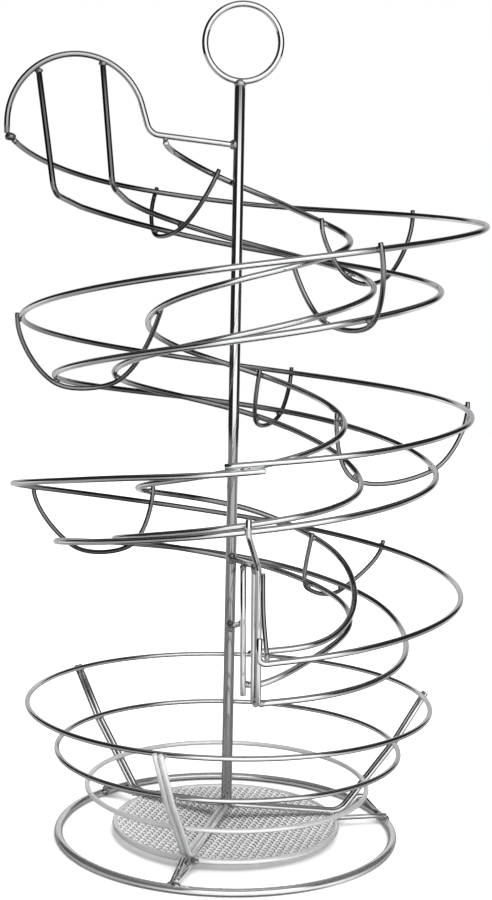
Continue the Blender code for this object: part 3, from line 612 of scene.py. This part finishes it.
class Graph:
    """A node tree, with short ways to add nodes and to join them."""

    def __init__(self, owner):
        owner.use_nodes = True
        self.nodes = owner.node_tree.nodes
        self.links = owner.node_tree.links

    def feed(self, socket, value):
        """Links the socket to another one, or sets it to a plain value."""
        if isinstance(value, bpy.types.NodeSocket):
            self.links.new(value, socket)
        else:
            socket.default_value = value

    def add(self, kind, **inputs):
        """A new node with its inputs fed. A space in an input's name is written as _ here."""
        node = self.nodes.new(kind)
        for name, value in inputs.items():
            self.feed(node.inputs[name.replace("_", " ")], value)
        return node

    def number(self, operation, *values):
        node = self.nodes.new("ShaderNodeMath")
        node.operation = operation
        for socket, value in zip(node.inputs, values):
            self.feed(socket, value)
        return node.outputs["Value"]

    def split(self, vector):
        return self.add("ShaderNodeSeparateXYZ", Vector=vector).outputs

    def step_up(self, value, low, high):
        """Rises smoothly from 0 to 1 while the value goes from low to high."""
        node = self.add("ShaderNodeMapRange", Value=value, From_Min=low, From_Max=high)
        node.interpolation_type = "SMOOTHSTEP"
        return node.outputs["Result"]

    def band(self, value, low, high, soft):
        """1 between low and high, fading to 0 outside them."""
        rise = self.step_up(value, low - soft, low + soft)
        fall = self.step_up(value, high - soft, high + soft)
        return self.number("SUBTRACT", rise, fall)


def painted_far_shade(graph, place, least):
    """Painted shade: 1 on the near and low wires, falling to the least on the high wires at the
    back.
    """
    x, y, z = graph.split(place)
    depth = graph.number("SUBTRACT", y, graph.number("MULTIPLY", x, FAR_ASIDE_SHARE))
    far = graph.step_up(depth, FAR_FROM, FAR_TO)
    both = graph.number("MULTIPLY", far, graph.step_up(z, HIGH_FROM, HIGH_TO))
    return graph.number("SUBTRACT", 1.0, graph.number("MULTIPLY", both, 1.0 - least))


def painted_height_shade(start, full, loss):
    """Painted shade: a share like the painted far shade's that also falls by the loss between two
    heights.
    """
    def share(graph, place, least):
        reached = graph.step_up(graph.split(place)["Z"], start, full)
        left = graph.number("MULTIPLY_ADD", reached, -loss, 1.0)
        return graph.number("MULTIPLY", painted_far_shade(graph, place, least), left)
    return share


def painted_cell_shade(graph, place, least):
    """Painted shade: share of the colour that is left on the sides of the strands, down in the
    cells.
    """
    z = graph.split(place)["Z"]
    lit = graph.step_up(z, foot_height() - WEAVE_DARK_BELOW, foot_height() + WEAVE_LIGHT_ABOVE)
    return graph.number("MULTIPLY_ADD", lit, 1.0 - least, least)


def plated(name, colour, rough, shade=0.94, grain=260.0, bump=0.05, least=0.3, metal=1.0,
           share=painted_far_shade):
    """Plated metal: faint cloudy variation in shade and gloss, a fine ripple, and painted shade
    by the share.
    """
    material = bpy.data.materials.new(name)
    graph = Graph(material)
    shader = graph.nodes["Principled BSDF"]
    shader.inputs["Metallic"].default_value = metal
    shader.inputs["Specular Tint"].default_value = EDGE_TINT
    place = graph.add("ShaderNodeTexCoord").outputs["Object"]
    clouds = graph.add("ShaderNodeTexNoise", Vector=place, Scale=grain, Detail=CLOUD_DETAIL)
    cloud = clouds.outputs["Fac"]
    tint = graph.add("ShaderNodeValToRGB", Fac=cloud)
    dark, light = tint.color_ramp.elements
    dark.position = CLOUD_FROM
    dark.color = (*[c * shade for c in colour], 1.0)
    light.position = CLOUD_TO
    light.color = (*colour, 1.0)
    # Painted shade: the colour is scaled by the share
    dim = graph.add("ShaderNodeVectorMath")
    dim.operation = "SCALE"
    graph.feed(dim.inputs[0], tint.outputs["Color"])
    graph.feed(dim.inputs["Scale"], share(graph, place, least))
    graph.feed(shader.inputs["Base Color"], dim.outputs["Vector"])
    gloss = graph.add("ShaderNodeMapRange", Value=cloud, From_Min=CLOUD_FROM, From_Max=CLOUD_TO,
                      To_Min=rough[0], To_Max=rough[1])
    graph.feed(shader.inputs["Roughness"], gloss.outputs["Result"])
    ripple = graph.add("ShaderNodeTexNoise", Vector=place, Scale=grain * RIPPLE_FINER,
                       Detail=RIPPLE_DETAIL)
    relief = graph.add("ShaderNodeBump", Strength=bump, Distance=RIPPLE_HEIGHT,
                       Height=ripple.outputs["Fac"])
    graph.feed(shader.inputs["Normal"], relief.outputs["Normal"])
    return material


# Each plated metal carries the painted far shade unless it is given another share of painted
# shade
CHROME = plated("bright_chrome", BRIGHT, MIRROR_ROUGH)
# Painted shade by height on the post and on the bars of the backstop, on top of the painted far
# shade
POST_CHROME = plated("post_chrome", BRIGHT, MIRROR_ROUGH,
                     share=painted_height_shade(*POST_SHADE_HEIGHTS, POST_SHADE_LOSS))
FLOOR_RAIL_CHROME = plated("floor_rail_chrome", BRIGHT, MIRROR_ROUGH,
                           share=painted_height_shade(*BAR_SHADE_HEIGHTS, BAR_SHADE_LOSS))
# Painted light: base ring and foot bars are a slightly paler, part-diffuse copy of the bright
# chrome
BASE_CHROME = plated("base_chrome", BRIGHT, (0.04, 0.09), metal=0.88)
# Painted light: lower ring, tray rim and front ribs are a paler, part-diffuse copy of the bright
# chrome
PAINTED_LIGHT_CHROME = plated("painted_light_chrome", BRIGHT, (0.1, 0.2), least=0.4, metal=0.42)
# Painted shade: the cradles are a dark copy of the bright chrome
SHADED_CRADLE_CHROME = plated("shaded_cradle_chrome", (0.36, 0.364, 0.368), (0.06, 0.12), shade=0.9, least=0.55)
WELD = plated("weld_metal", (0.62, 0.62, 0.625), (0.28, 0.42), shade=0.85, grain=700.0, bump=0.35,
              least=0.4)
WEAVE = plated("woven_steel", (0.95, 0.95, 0.95), (0.3, 0.45), shade=0.92, grain=500.0, bump=0.25,
               least=WEAVE_LEAST, metal=0.15, share=painted_cell_shade)


# Shapes

def placed(name, data):
    """A new object in the scene with this data."""
    obj = bpy.data.objects.new(name, data)
    bpy.context.scene.collection.objects.link(obj)
    return obj


def new_piece(name, verts, faces, material):
    """A smooth mesh in the rack's own place, that rides with the rack."""
    mesh = bpy.data.meshes.new(name)
    mesh.from_pydata([tuple(Vector(v) + TRACK_SHIFT) for v in verts], [], faces)
    mesh.validate()
    for polygon in mesh.polygons:
        polygon.use_smooth = True
    mesh.materials.append(material)
    obj = placed(name, mesh)
    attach(obj, "root")
    return obj


def frames_along(points):
    """At each point, the direction of the wire and two square sides that don't twist."""
    last = len(points) - 1
    rows = []
    side = None
    for i, point in enumerate(points):
        along = (points[min(i + 1, last)] - points[max(i - 1, 0)]).normalized()
        if side is None:
            side = along.orthogonal().normalized()
        else:
            side = (side - along * side.dot(along)).normalized()
        rows.append((point, along, side, along.cross(side)))
    return rows


def circle(point, side, up, reach, sides):
    """The points of a round section about a point of the wire."""
    angles = [2 * math.pi * k / sides for k in range(sides)]
    return [point + (side * math.cos(angle) + up * math.sin(angle)) * reach for angle in angles]


def skin(first, count, sides):
    """The faces along a tube of this many sections, and the caps of its two ends."""
    last = first + (count - 1) * sides
    faces = []
    for start in range(first, last, sides):
        for k in range(sides):
            a = start + k
            b = start + (k + 1) % sides
            faces.append((a, b, b + sides, a + sides))
    faces.append(tuple(first + k for k in reversed(range(sides))))
    faces.append(tuple(last + k for k in range(sides)))
    return faces


def wire_piece(node, points, diameter, material=CHROME):
    """A round wire with softly rounded ends, in place of its plain solid."""
    radius = diameter / 2
    rows = frames_along(points)
    cut = TIP_SHARES[-1][0] * radius
    sections = []
    point, along, side, up = rows[0]
    for shift, share in TIP_SHARES[:-1]:
        sections.append((point + along * (shift * radius), side, up, share * radius))
    for point, _, side, up in rows:
        if min((point - points[0]).length, (point - points[-1]).length) > cut:
            sections.append((point, side, up, radius))
    point, along, side, up = rows[-1]
    for shift, share in reversed(TIP_SHARES[:-1]):
        sections.append((point - along * (shift * radius), side, up, share * radius))
    verts = []
    for section in sections:
        verts += circle(*section, TUBE_SIDES)
    faces = skin(0, len(sections), TUBE_SIDES)
    piece = new_piece(node + "_wire", verts, faces, material)
    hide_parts(node)


def ring_piece(node, centre, radius, diameter, material=CHROME, flat=True):
    """A closed ring of round wire, level or standing, in place of its plain solid."""
    up = upward(1.0) if flat else Vector((0.0, 1.0, 0.0))
    count = RING_STEPS * TUBE_SIDES
    verts = []
    faces = []
    for i in range(RING_STEPS):
        turn = 2 * math.pi * i / RING_STEPS
        out = Vector((math.cos(turn), math.sin(turn), 0.0))
        if not flat:
            out = Vector((math.cos(turn), 0.0, math.sin(turn)))
        for k in range(TUBE_SIDES):
            angle = 2 * math.pi * k / TUBE_SIDES
            reach = radius + diameter / 2 * math.cos(angle)
            verts.append(centre + out * reach + up * (diameter / 2 * math.sin(angle)))
            a = i * TUBE_SIDES + k
            b = i * TUBE_SIDES + (k + 1) % TUBE_SIDES
            c = (b + TUBE_SIDES) % count
            d = (a + TUBE_SIDES) % count
            faces.append((a, d, c, b) if flat else (a, b, c, d))
    piece = new_piece(node + "_wire", verts, faces, material)
    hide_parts(node)


# The weld beads that the wires call for, made as one piece at the end
beads = []


def bead(place, radius, along=upward(1.0)):
    """Notes a weld bead: where it sits, how big it is and which way it is drawn out."""
    beads.append((place.copy(), radius, along.normalized()))


def bead_mesh(place, radius, along, first):
    """A lump of set weld metal, drawn out along the joint."""
    side = along.orthogonal().normalized()
    up = along.cross(side)
    verts = []
    for i in range(BEAD_STEPS + 1):
        polar = math.pi * i / BEAD_STEPS
        for k in range(BEAD_STEPS):
            angle = 2 * math.pi * k / BEAD_STEPS
            out = (side * math.cos(angle) + up * math.sin(angle)) * math.sin(polar)
            direction = out + along * (math.cos(polar) * BEAD_LONG)
            lumpy = noise.noise((place + direction * radius) * BEAD_NOISE)
            verts.append(place + direction * radius * (1 + BEAD_ROUGHNESS * lumpy))
    faces = []
    for i in range(BEAD_STEPS):
        for k in range(BEAD_STEPS):
            a = first + i * BEAD_STEPS + k
            b = first + i * BEAD_STEPS + (k + 1) % BEAD_STEPS
            faces.append((a, a + BEAD_STEPS, b + BEAD_STEPS, b))
    return verts, faces


def build_beads():
    verts = []
    faces = []
    for place, radius, along in beads:
        more, joined = bead_mesh(place, radius, along, len(verts))
        verts += more
        faces += joined
    new_piece("weld_beads", verts, faces, WELD)


# The channel

def fine_quarters(start, end):
    """Quarter turns from start to end, close enough for a smooth wire."""
    count = max(int((end - start) / RAIL_QUARTER_STEP), 2)
    return [start + (end - start) * i / count for i in range(count + 1)]


def lapped(start, end, side):
    """The outer top rail, above or below the next wire's end where the two lap."""
    near = (LAP_TO_DEGREES if side > 0 else LAP_FROM_DEGREES) / QUARTER_DEGREES
    offset = side * (RAIL_WIRE + GAP) / 2
    path = []
    for quarter in fine_quarters(start, end):
        away = min(abs(quarter - near) * QUARTER_DEGREES / LAP_EASE_DEGREES, 1.0)
        ease = (1 + math.cos(math.pi * away)) / 2
        path.append(OUTER_TOP.point(quarter) + upward(offset * ease))
    return path


def build_top_rails():
    upper = lapped(OUTER_TOP_SHARES[0][0], LAP_TO_DEGREES / QUARTER_DEGREES, 1)
    wire_piece("outer_rail_upper", upper, TOP_RAIL_DRAWN)
    lower = lapped(LAP_FROM_DEGREES / QUARTER_DEGREES, OUTER_TOP.end_at(END_RAIL_X), -1)
    before = [p for p in lower if (p - lower[-1]).length > END_STRAIGHT]
    corner = rounded([before[-1], lower[-1], lower[-1] + upward(END_TURN_UP)], END_BEND)
    wire_piece("outer_rail_lower", before + corner[1:], TOP_RAIL_DRAWN)
    last = INNER_TOP.end_at(STOP_INNER_X + STOP_WIRE / 2 + GAP)
    inner = [INNER_TOP.point(q) for q in fine_quarters(INNER_TOP_SHARES[0][0], last)]
    wire_piece("inner_rail", inner, RAIL_WIRE)
    along = (upper[-1] - upper[-2]).normalized()
    bead((upper[-1] + lower[0]) / 2, RAIL_BEAD, along)
    arch_end = Vector((arch_centre_x() - ARCH_RADIUS, 0.0, ARCH_CENTRE_Z - ARCH_END_DROP))
    bead((upper[0] + arch_end) / 2, ARCH_START_BEAD, along)
    bead(inner[0] + upward(RAIL_WIRE / 2), SMALL_BEAD, inner[1] - inner[0])


def build_floor_rail(name, rail, upright_shift, stop_x):
    """A floor rail whose start turns up as a bar of the backstop, and which ends at the stop."""
    start = rail.shares[0][0]
    corner = rail.point(start)
    last = rail.end_at(stop_x + STOP_WIRE / 2 + GAP)
    first = start + UPRIGHT_LEAD_DEGREES / QUARTER_DEGREES
    lead = [rail.point(q) for q in fine_quarters(first, last)]
    upright_x = arch_centre_x() + upright_shift
    top = Vector((upright_x, corner.y, arch_inner_z(upright_x)))
    path = rounded([top, corner, lead[0]], UPRIGHT_BEND) + lead[1:]
    wire_piece(name, path, RAIL_WIRE, FLOOR_RAIL_CHROME)
    bead(top + upward(UPRIGHT_BEAD_LIFT), RAIL_BEAD, SIDEWAYS)
    bead(lead[-1], END_BEAD, lead[-1] - lead[-2])


def build_cradles():
    for index, quarters in enumerate(CRADLE_QUARTERS, start=1):
        path, seats, centres = cradle_path(quarters)
        wire_piece(f"cradle_{index}", path, CRADLE_WIRE, SHADED_CRADLE_CHROME)
        for seat, centre in zip(seats, centres):
            bead((seat + centre) / 2, RAIL_BEAD, (seat - centre).cross(CRADLE_BEAD_LEAN))


# The post, the backstop, the ties and the stop frame

def build_post():
    foot = on_post(SPOKE_Z - RIB_WIRE / 2)
    top = on_post(POST_TOP_Z)
    wire_piece("central_post", [foot, foot.lerp(top, 0.5), top], POST_DIA, POST_CHROME)
    centre = Vector((top.x + HANDLE_SHIFT_X, 0.0, POST_TOP_Z + GAP + HANDLE_OUTER_DIA / 2))
    radius = (HANDLE_OUTER_DIA - HANDLE_WIRE) / 2
    ring_piece("ring_handle", centre, radius, HANDLE_WIRE, flat=False)
    bead(top + upward(HANDLE_WIRE / 4), HANDLE_BEAD, SIDEWAYS)


def build_arch():
    """A near full half circle from the rail's start, with an S-bend into its tail."""
    centre = Vector((arch_centre_x(), 0.0, ARCH_CENTRE_Z))
    path = [centre + Vector((-ARCH_RADIUS, 0.0, -ARCH_END_DROP))]
    for i in range(ARCH_STEPS + 1):
        angle = math.radians(180.0 - ARCH_SWEEP_DEGREES * i / ARCH_STEPS)
        path.append(centre + ARCH_RADIUS * Vector((math.cos(angle), 0.0, math.sin(angle))))
    end = on_post(ARCH_TAIL_Z) - Vector((POST_DIA / 2 + GAP, 0.0, 0.0))
    corner = Vector((centre.x + ARCH_TAIL_SHIFT, 0.0, end.z + ARCH_TAIL_RISE))
    path += rounded([path[-1], corner, end], ARCH_TAIL_BEND)[1:]
    wire_piece("backstop_arch", path, ARCH_WIRE)
    bead(end, ARCH_TAIL_BEAD)
    bead(end + ARCH_TAIL_RUN, SMALL_BEAD)


def build_ties():
    heights = (TIE_UPPER_Z, TIE_MIDDLE_Z, TIE_LOWER_Z)
    for name, z, quarter in zip(("upper", "middle", "lower"), heights, TIE_QUARTERS):
        start = on_post(z)
        end = INNER_TOP.frame(quarter)[0]
        rail_clear = RAIL_WIRE / 2 + GAP + TIE_WIRE / 4
        path = between(start, end, post_clear(start, end, TIE_WIRE), rail_clear)
        wire_piece(f"tie_{name}", path, TIE_WIRE)
        bead(path[0], TIE_BEAD)
        bead(path[1], RAIL_BEAD, path[1] - path[0])


def build_stop_frame():
    """The frame that ends the channel and hangs its last stretch from the turn above."""
    outer_end = stop_foot(OUTER_FLOOR, STOP_OUTER_X)
    outer_foot = outer_end - upward(STOP_OUTER_BELOW)
    inner_end = stop_foot(INNER_FLOOR, STOP_INNER_X)
    inner_foot = inner_end - upward(STOP_INNER_BELOW)

    quarter = HANGER_DEGREES / QUARTER_DEGREES
    hanger = OUTER_FLOOR.outside(quarter, STOP_WIRE)
    tip = hanger + upward(HANGER_TIP)
    bend = hanger - upward(HANGER_BEND_BELOW)
    knee = Vector((STOP_OUTER_X + STOP_OUTER_LEAN, outer_end.y, bend.z - HANGER_RUN))
    wire_piece("stop_outer_upright", rounded([tip, bend, knee, outer_foot], STOP_BEND), STOP_WIRE)
    bead(hanger.lerp(OUTER_FLOOR.point(quarter), 0.5), RAIL_BEAD)

    aside = beside_upright(STOP_ARM_TURN, STOP_WIRE)
    arm_start = on_post(STOP_ARM_Z)
    arm_end = Vector((knee.x, knee.y, STOP_ARM_Z + STOP_ARM_RISE)) + aside
    run = (arm_end - arm_start).normalized()
    clear_start = arm_start + run * post_clear(arm_start, arm_end, STOP_WIRE)
    path = rounded([clear_start, arm_end, outer_foot + aside], STOP_ARM_BEND)
    wire_piece("stop_arm", path, STOP_WIRE)
    bead(clear_start, POST_BEAD)
    bead(knee + aside / 2, TIE_BEAD)
    bead(outer_end + aside / 2, SMALL_BEAD)

    slope = (arm_end.z - arm_start.z) / abs(arm_end.y - arm_start.y)
    arm_z = arm_start.z + slope * abs(inner_end.y - arm_start.y)
    top_z = arm_z - GAP - (1 + slope) * STOP_WIRE / 2
    top = Vector((STOP_INNER_X + STOP_INNER_LEAN, inner_end.y, top_z))
    wire_piece("stop_inner_upright", [top, top.lerp(inner_foot, 0.5), inner_foot], STOP_WIRE)
    bead(top, END_BEAD, Vector((0.0, 1.0, 0.0)))

    brace_start = on_post(STOP_BRACE_Z)
    brace_z = STOP_BRACE_Z + STOP_BRACE_RISE
    brace_end = top.lerp(inner_foot, (top.z - brace_z) / (top.z - inner_foot.z))
    clear = post_clear(brace_start, brace_end, STOP_WIRE)
    path = between(brace_start, brace_end, clear, STOP_WIRE + GAP)
    wire_piece("stop_brace", path, STOP_WIRE)
    bead(path[0], POST_BEAD)
    bead(path[1], LEG_BEAD)

    top = knee + beside_upright(END_WIRE_TURN, END_WIRE) - upward(END_WIRE_TOP_BELOW)
    on_rail = stop_foot(OUTER_TOP, END_RAIL_X + END_WIRE_FOOT)
    foot = on_rail + upward((RAIL_WIRE + END_WIRE) / 2 + GAP)
    middle = (top + foot) / 2 + Vector((END_WIRE_BULGE, 0.0, 0.0))
    wire_piece("stop_end_wire", smooth_path([top, middle, foot], END_WIRE_STEPS), END_WIRE)
    bead(foot, END_WIRE_BEAD)


# The basket, the woven tray and the base

def rib_seat(profile, radius, z):
    """The weld between a ring and the rib, in the rib's own plane."""
    ring = Vector((radius, z))
    spots = []
    for start, end in zip(profile[:2], profile[1:3]):
        run = end - start
        share = min(max((ring - start).dot(run) / run.length_squared, 0.0), 1.0)
        spots.append(start + run * share)
    nearest = min(spots, key=lambda spot: (spot - ring).length)
    return (ring + nearest) / 2


def build_basket():
    rings = (("basket_rim", RIM_RADIUS, RIM_Z, CHROME),
             ("basket_middle_ring", MIDDLE_RING_RADIUS, MIDDLE_RING_Z, CHROME),
             ("basket_lower_ring", LOWER_RING_RADIUS, LOWER_RING_Z, PAINTED_LIGHT_CHROME))
    for name, radius, z, material in rings:
        ring_piece(name, upward(z), radius, RING_WIRE, material)
    ring_piece("tray_rim", upward(foot_height()), TRAY_RADIUS, TRAY_WIRE, PAINTED_LIGHT_CHROME)
    ring_piece("base_ring", upward(BASE_WIRE / 2), BASE_RADIUS, BASE_WIRE, BASE_CHROME)
    profile = rib_profile()
    for name, azimuth in zip(RIB_NAMES, RIB_AZIMUTHS):
        across = turned(0.0, 0.0, azimuth, 1.0)
        for side, letter in ((-1, "a"), (1, "b")):
            sideways = side * (RIB_WIRE + GAP) / 2
            points = [turned(p.x, p.y, azimuth, sideways) for p in profile]
            material = PAINTED_LIGHT_CHROME if name == "front" else CHROME
            wire_piece(f"rib_{name}_{letter}", rounded(points, RIB_BEND), RIB_WIRE, material)
            for _, radius, z, _ in rings:
                spot = rib_seat(profile, radius, z)
                bead(turned(spot.x, spot.y, azimuth, sideways), RING_BEAD, across)
        bead(turned(TRAY_RADIUS, foot_height() + TRAY_WIRE / 2, azimuth, 0.0), LEG_BEAD, across)
        bead(turned(profile[-1].x, profile[-1].y, azimuth, 0.0), SPOKE_BEAD, across)


def build_legs():
    """Each leg runs down the outside of its rib pair, and its other end stands on the base."""
    profile = rib_profile()
    along = (profile[1] - profile[2]).normalized()
    pair_offset = (RIB_WIRE + GAP) / 2
    touch = (RIB_WIRE + LEG_WIRE) / 2 + GAP
    reach = math.sqrt(touch * touch - pair_offset * pair_offset)
    beside_knee = profile[2] + Vector((along.y, -along.x)) * reach
    z = foot_height()
    start = beside_knee + along * ((z - beside_knee.y) / along.y)
    rows = zip(RIB_NAMES, RIB_AZIMUTHS, LEG_APEX_HEIGHTS, FOOT_BAR_SIDES)
    for name, azimuth, apex_z, side in rows:
        across = turned(0.0, 0.0, azimuth, 1.0)
        apex = start + along * ((apex_z - z) / along.y)
        points = [turned(p.x, p.y, azimuth, 0.0) for p in (start, apex)]
        base_end = turned(BASE_RADIUS, base_top() / 2, azimuth, 0.0)
        points.append(between(points[1], base_end, 0.0, BASE_WIRE / 2 + GAP)[1])
        wire_piece(f"leg_{name}", rounded(points, LEG_BEND), LEG_WIRE)
        bead(points[2], LEG_BEAD, across)
        sideways = side * (LEG_WIRE + GAP)
        inner = TRAY_RADIUS + TRAY_WIRE / 2 + GAP
        bar = [turned(radius, z, azimuth, sideways) for radius in (inner, BASE_RADIUS)]
        wire_piece(f"foot_bar_{name}", bar, LEG_WIRE, BASE_CHROME)
        bead(bar[0], END_BEAD, across)
        bead(turned(BASE_RADIUS, base_top(), azimuth, sideways), END_BEAD, across)


def strand_path(line, across, reach):
    """One strand of the tray, over one and under the next, with the tray's slight sag."""
    turn = Matrix.Rotation(math.radians(WEAVE_TURN_DEGREES), 4, "Z")
    offset = (line + 0.5) * WEAVE_PITCH
    half = math.sqrt(reach * reach - offset * offset)
    steps = max(int(2 * half / WEAVE_PITCH * WEAVE_STEPS), WEAVE_STEPS)
    points = []
    for i in range(steps + 1):
        run = -half + 2 * half * i / steps
        phase = math.pi * (run / WEAVE_PITCH + line + (0.0 if across else 1.0))
        sag = WEAVE_SAG * (1 - (run * run + offset * offset) / (reach * reach))
        z = WEAVE_STRAND / 2 * math.cos(phase + math.pi / 2) - sag
        flat = Vector((offset, run, z)) if across else Vector((run, offset, z))
        points.append(turn @ flat + upward(foot_height()))
    return points


def build_weave():
    """Two sets of fine strands, cut off at the rim."""
    reach = TRAY_RADIUS - TRAY_WIRE / 4
    count = int(reach / WEAVE_PITCH)
    verts = []
    faces = []
    for across in (False, True):
        for line in range(-count, count + 1):
            if abs(line + 0.5) * WEAVE_PITCH >= reach:
                continue
            rows = frames_along(strand_path(line, across, reach))
            faces += skin(len(verts), len(rows), WEAVE_SIDES)
            for point, _, side, up in rows:
                verts += circle(point, side, up, WEAVE_STRAND / 2, WEAVE_SIDES)
    piece = new_piece("woven_mesh_tray", verts, faces, WEAVE)
    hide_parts("mesh_tray")


# The studio

def build_world():
    """A white surround for the camera, and a soft studio for the light and the gloss."""
    world = bpy.data.worlds.new("studio")
    bpy.context.scene.world = world
    graph = Graph(world)
    x, y, z = graph.split(graph.add("ShaderNodeTexCoord").outputs["Generated"])
    azimuth = graph.number("ARCTAN2", x, graph.number("MULTIPLY", y, -1.0))
    front = graph.band(azimuth, FRONT_FROM, FRONT_TO, FRONT_SOFT)
    tall = graph.band(z, FRONT_LOW, FRONT_HIGH, FRONT_SOFT)
    front = graph.number("MULTIPLY", front, tall)
    front = graph.number("MULTIPLY", front, FRONT_LEVEL)
    top = graph.number("MULTIPLY", graph.step_up(z, TOP_FROM, TOP_TO), TOP_LEVEL)
    behind = graph.number("MULTIPLY", graph.step_up(y, BACK_FROM, BACK_TO), BACK_LEVEL)
    level = graph.number("ADD", front, top)
    level = graph.number("ADD", level, behind)
    level = graph.number("ADD", level, ROOM_LEVEL)
    path = graph.add("ShaderNodeLightPath").outputs
    seen = graph.number("MAXIMUM", path["Is Camera Ray"], path["Is Transmission Ray"])
    mix = graph.add("ShaderNodeMix", Factor=seen, A=level, B=1.0)
    surround = graph.nodes["Background"]
    surround.inputs["Color"].default_value = WHITE
    graph.feed(surround.inputs["Strength"], mix.outputs["Result"])


def floor_shine(graph):
    """How bright the floor is in the metal: dark below it, and bright at a slant."""
    slant = graph.add("ShaderNodeLayerWeight").outputs["Facing"]
    shine = graph.step_up(slant, SLANT_FROM, SLANT_TO)
    x, y, _ = graph.split(graph.add("ShaderNodeTexCoord").outputs["Object"])
    azimuth = graph.number("ARCTAN2", x, graph.number("MULTIPLY", y, -1.0))
    ahead = graph.band(azimuth, FRONT_FROM, FRONT_TO, ASIDE_SOFT)
    behind = graph.step_up(y, BEHIND_FROM, BEHIND_TO)
    open_side = graph.number("MAXIMUM", ahead, behind)
    open_side = graph.number("MULTIPLY_ADD", open_side, 1.0 - ASIDE_SHARE, ASIDE_SHARE)
    shine = graph.number("MULTIPLY", shine, open_side)
    return graph.number("MULTIPLY_ADD", shine, SLANT_LEVEL - STEEP_LEVEL, STEEP_LEVEL)


def build_floor():
    """A pale floor that is white to the camera, apart from the shadow close under the rack."""
    mesh = bpy.data.meshes.new("floor")
    corners = [(-FLOOR_HALF, -FLOOR_HALF, 0.0), (FLOOR_HALF, -FLOOR_HALF, 0.0),
               (FLOOR_HALF, FLOOR_HALF, 0.0), (-FLOOR_HALF, FLOOR_HALF, 0.0)]
    mesh.from_pydata(corners, [], [(0, 1, 2, 3)])
    floor = placed("floor", mesh)
    material = bpy.data.materials.new("floor_white")
    graph = Graph(material)
    shader = graph.nodes["Principled BSDF"]
    shader.inputs["Base Color"].default_value = FLOOR_COLOUR
    shader.inputs["Roughness"].default_value = FLOOR_ROUGHNESS
    shader.inputs["Specular IOR Level"].default_value = 0.0
    path = graph.add("ShaderNodeLightPath").outputs
    open_sky = graph.add("ShaderNodeAmbientOcclusion", Distance=FLOOR_NEAR)
    open_sky.samples = FLOOR_SAMPLES
    clear = graph.number("POWER", open_sky.outputs["AO"], UNDER_POWER)
    level = graph.number("MULTIPLY", path["Is Camera Ray"], FLOOR_GLOW)
    level = graph.number("MULTIPLY", level, clear)
    glow = graph.add("ShaderNodeEmission", Strength=level)
    lit = graph.add("ShaderNodeAddShader")
    graph.feed(lit.inputs[0], shader.outputs["BSDF"])
    graph.feed(lit.inputs[1], glow.outputs["Emission"])
    mirrored = graph.add("ShaderNodeEmission", Strength=floor_shine(graph))
    choose = graph.add("ShaderNodeMixShader", Fac=path["Is Glossy Ray"])
    graph.feed(choose.inputs[1], lit.outputs["Shader"])
    graph.feed(choose.inputs[2], mirrored.outputs["Emission"])
    graph.feed(graph.nodes["Material Output"].inputs["Surface"], choose.outputs["Shader"])
    mesh.materials.append(material)


def build_key_light():
    """One broad soft lamp from the front, high on the right."""
    data = bpy.data.lights.new("key_light", "SUN")
    data.energy = KEY_STRENGTH
    data.angle = KEY_SOFTNESS
    lamp = placed("key_light", data)
    lamp.rotation_euler = (math.radians(90.0 - KEY_HEIGHT_DEGREES), 0.0,
                           math.radians(KEY_AZIMUTH_DEGREES))
    lamp.visible_glossy = False


def build_camera():
    """A camera at the photograph's viewpoint, a little turned, tilted down and rolled."""
    pitch = math.radians(CAMERA_PITCH_DEGREES)
    yaw = math.radians(CAMERA_YAW_DEGREES)
    roll = math.radians(CAMERA_ROLL_DEGREES)
    ahead = Vector((math.sin(yaw) * math.cos(pitch), math.cos(yaw) * math.cos(pitch),
                    -math.sin(pitch)))
    level = Vector((math.cos(yaw), -math.sin(yaw), 0.0))
    above = level.cross(ahead)
    right = level * math.cos(roll) + above * math.sin(roll)
    up = above * math.cos(roll) - level * math.sin(roll)
    data = bpy.data.cameras.new("camera")
    data.sensor_fit = "VERTICAL"
    data.sensor_height = SENSOR_HEIGHT_MM
    data.lens = FOCAL_PIXELS / IMAGE_HEIGHT * SENSOR_HEIGHT_MM
    camera = placed("camera", data)
    turn = Matrix((right, up, -ahead)).transposed().to_4x4()
    camera.matrix_world = Matrix.Translation(Vector(CAMERA_PLACE)) @ turn
    bpy.context.scene.camera = camera


def main():
    build_camera()
    build_world()
    build_floor()
    build_key_light()
    build_post()
    build_arch()
    build_top_rails()
    build_floor_rail("outer_floor_rail", OUTER_FLOOR, OUTER_UPRIGHT_SHIFT, STOP_OUTER_X)
    build_floor_rail("inner_floor_rail", INNER_FLOOR, INNER_UPRIGHT_SHIFT, STOP_INNER_X)
    build_cradles()
    build_ties()
    build_stop_frame()
    build_basket()
    build_legs()
    build_weave()
    build_beads()
    bpy.context.scene.view_settings.view_transform = "Standard"


main()
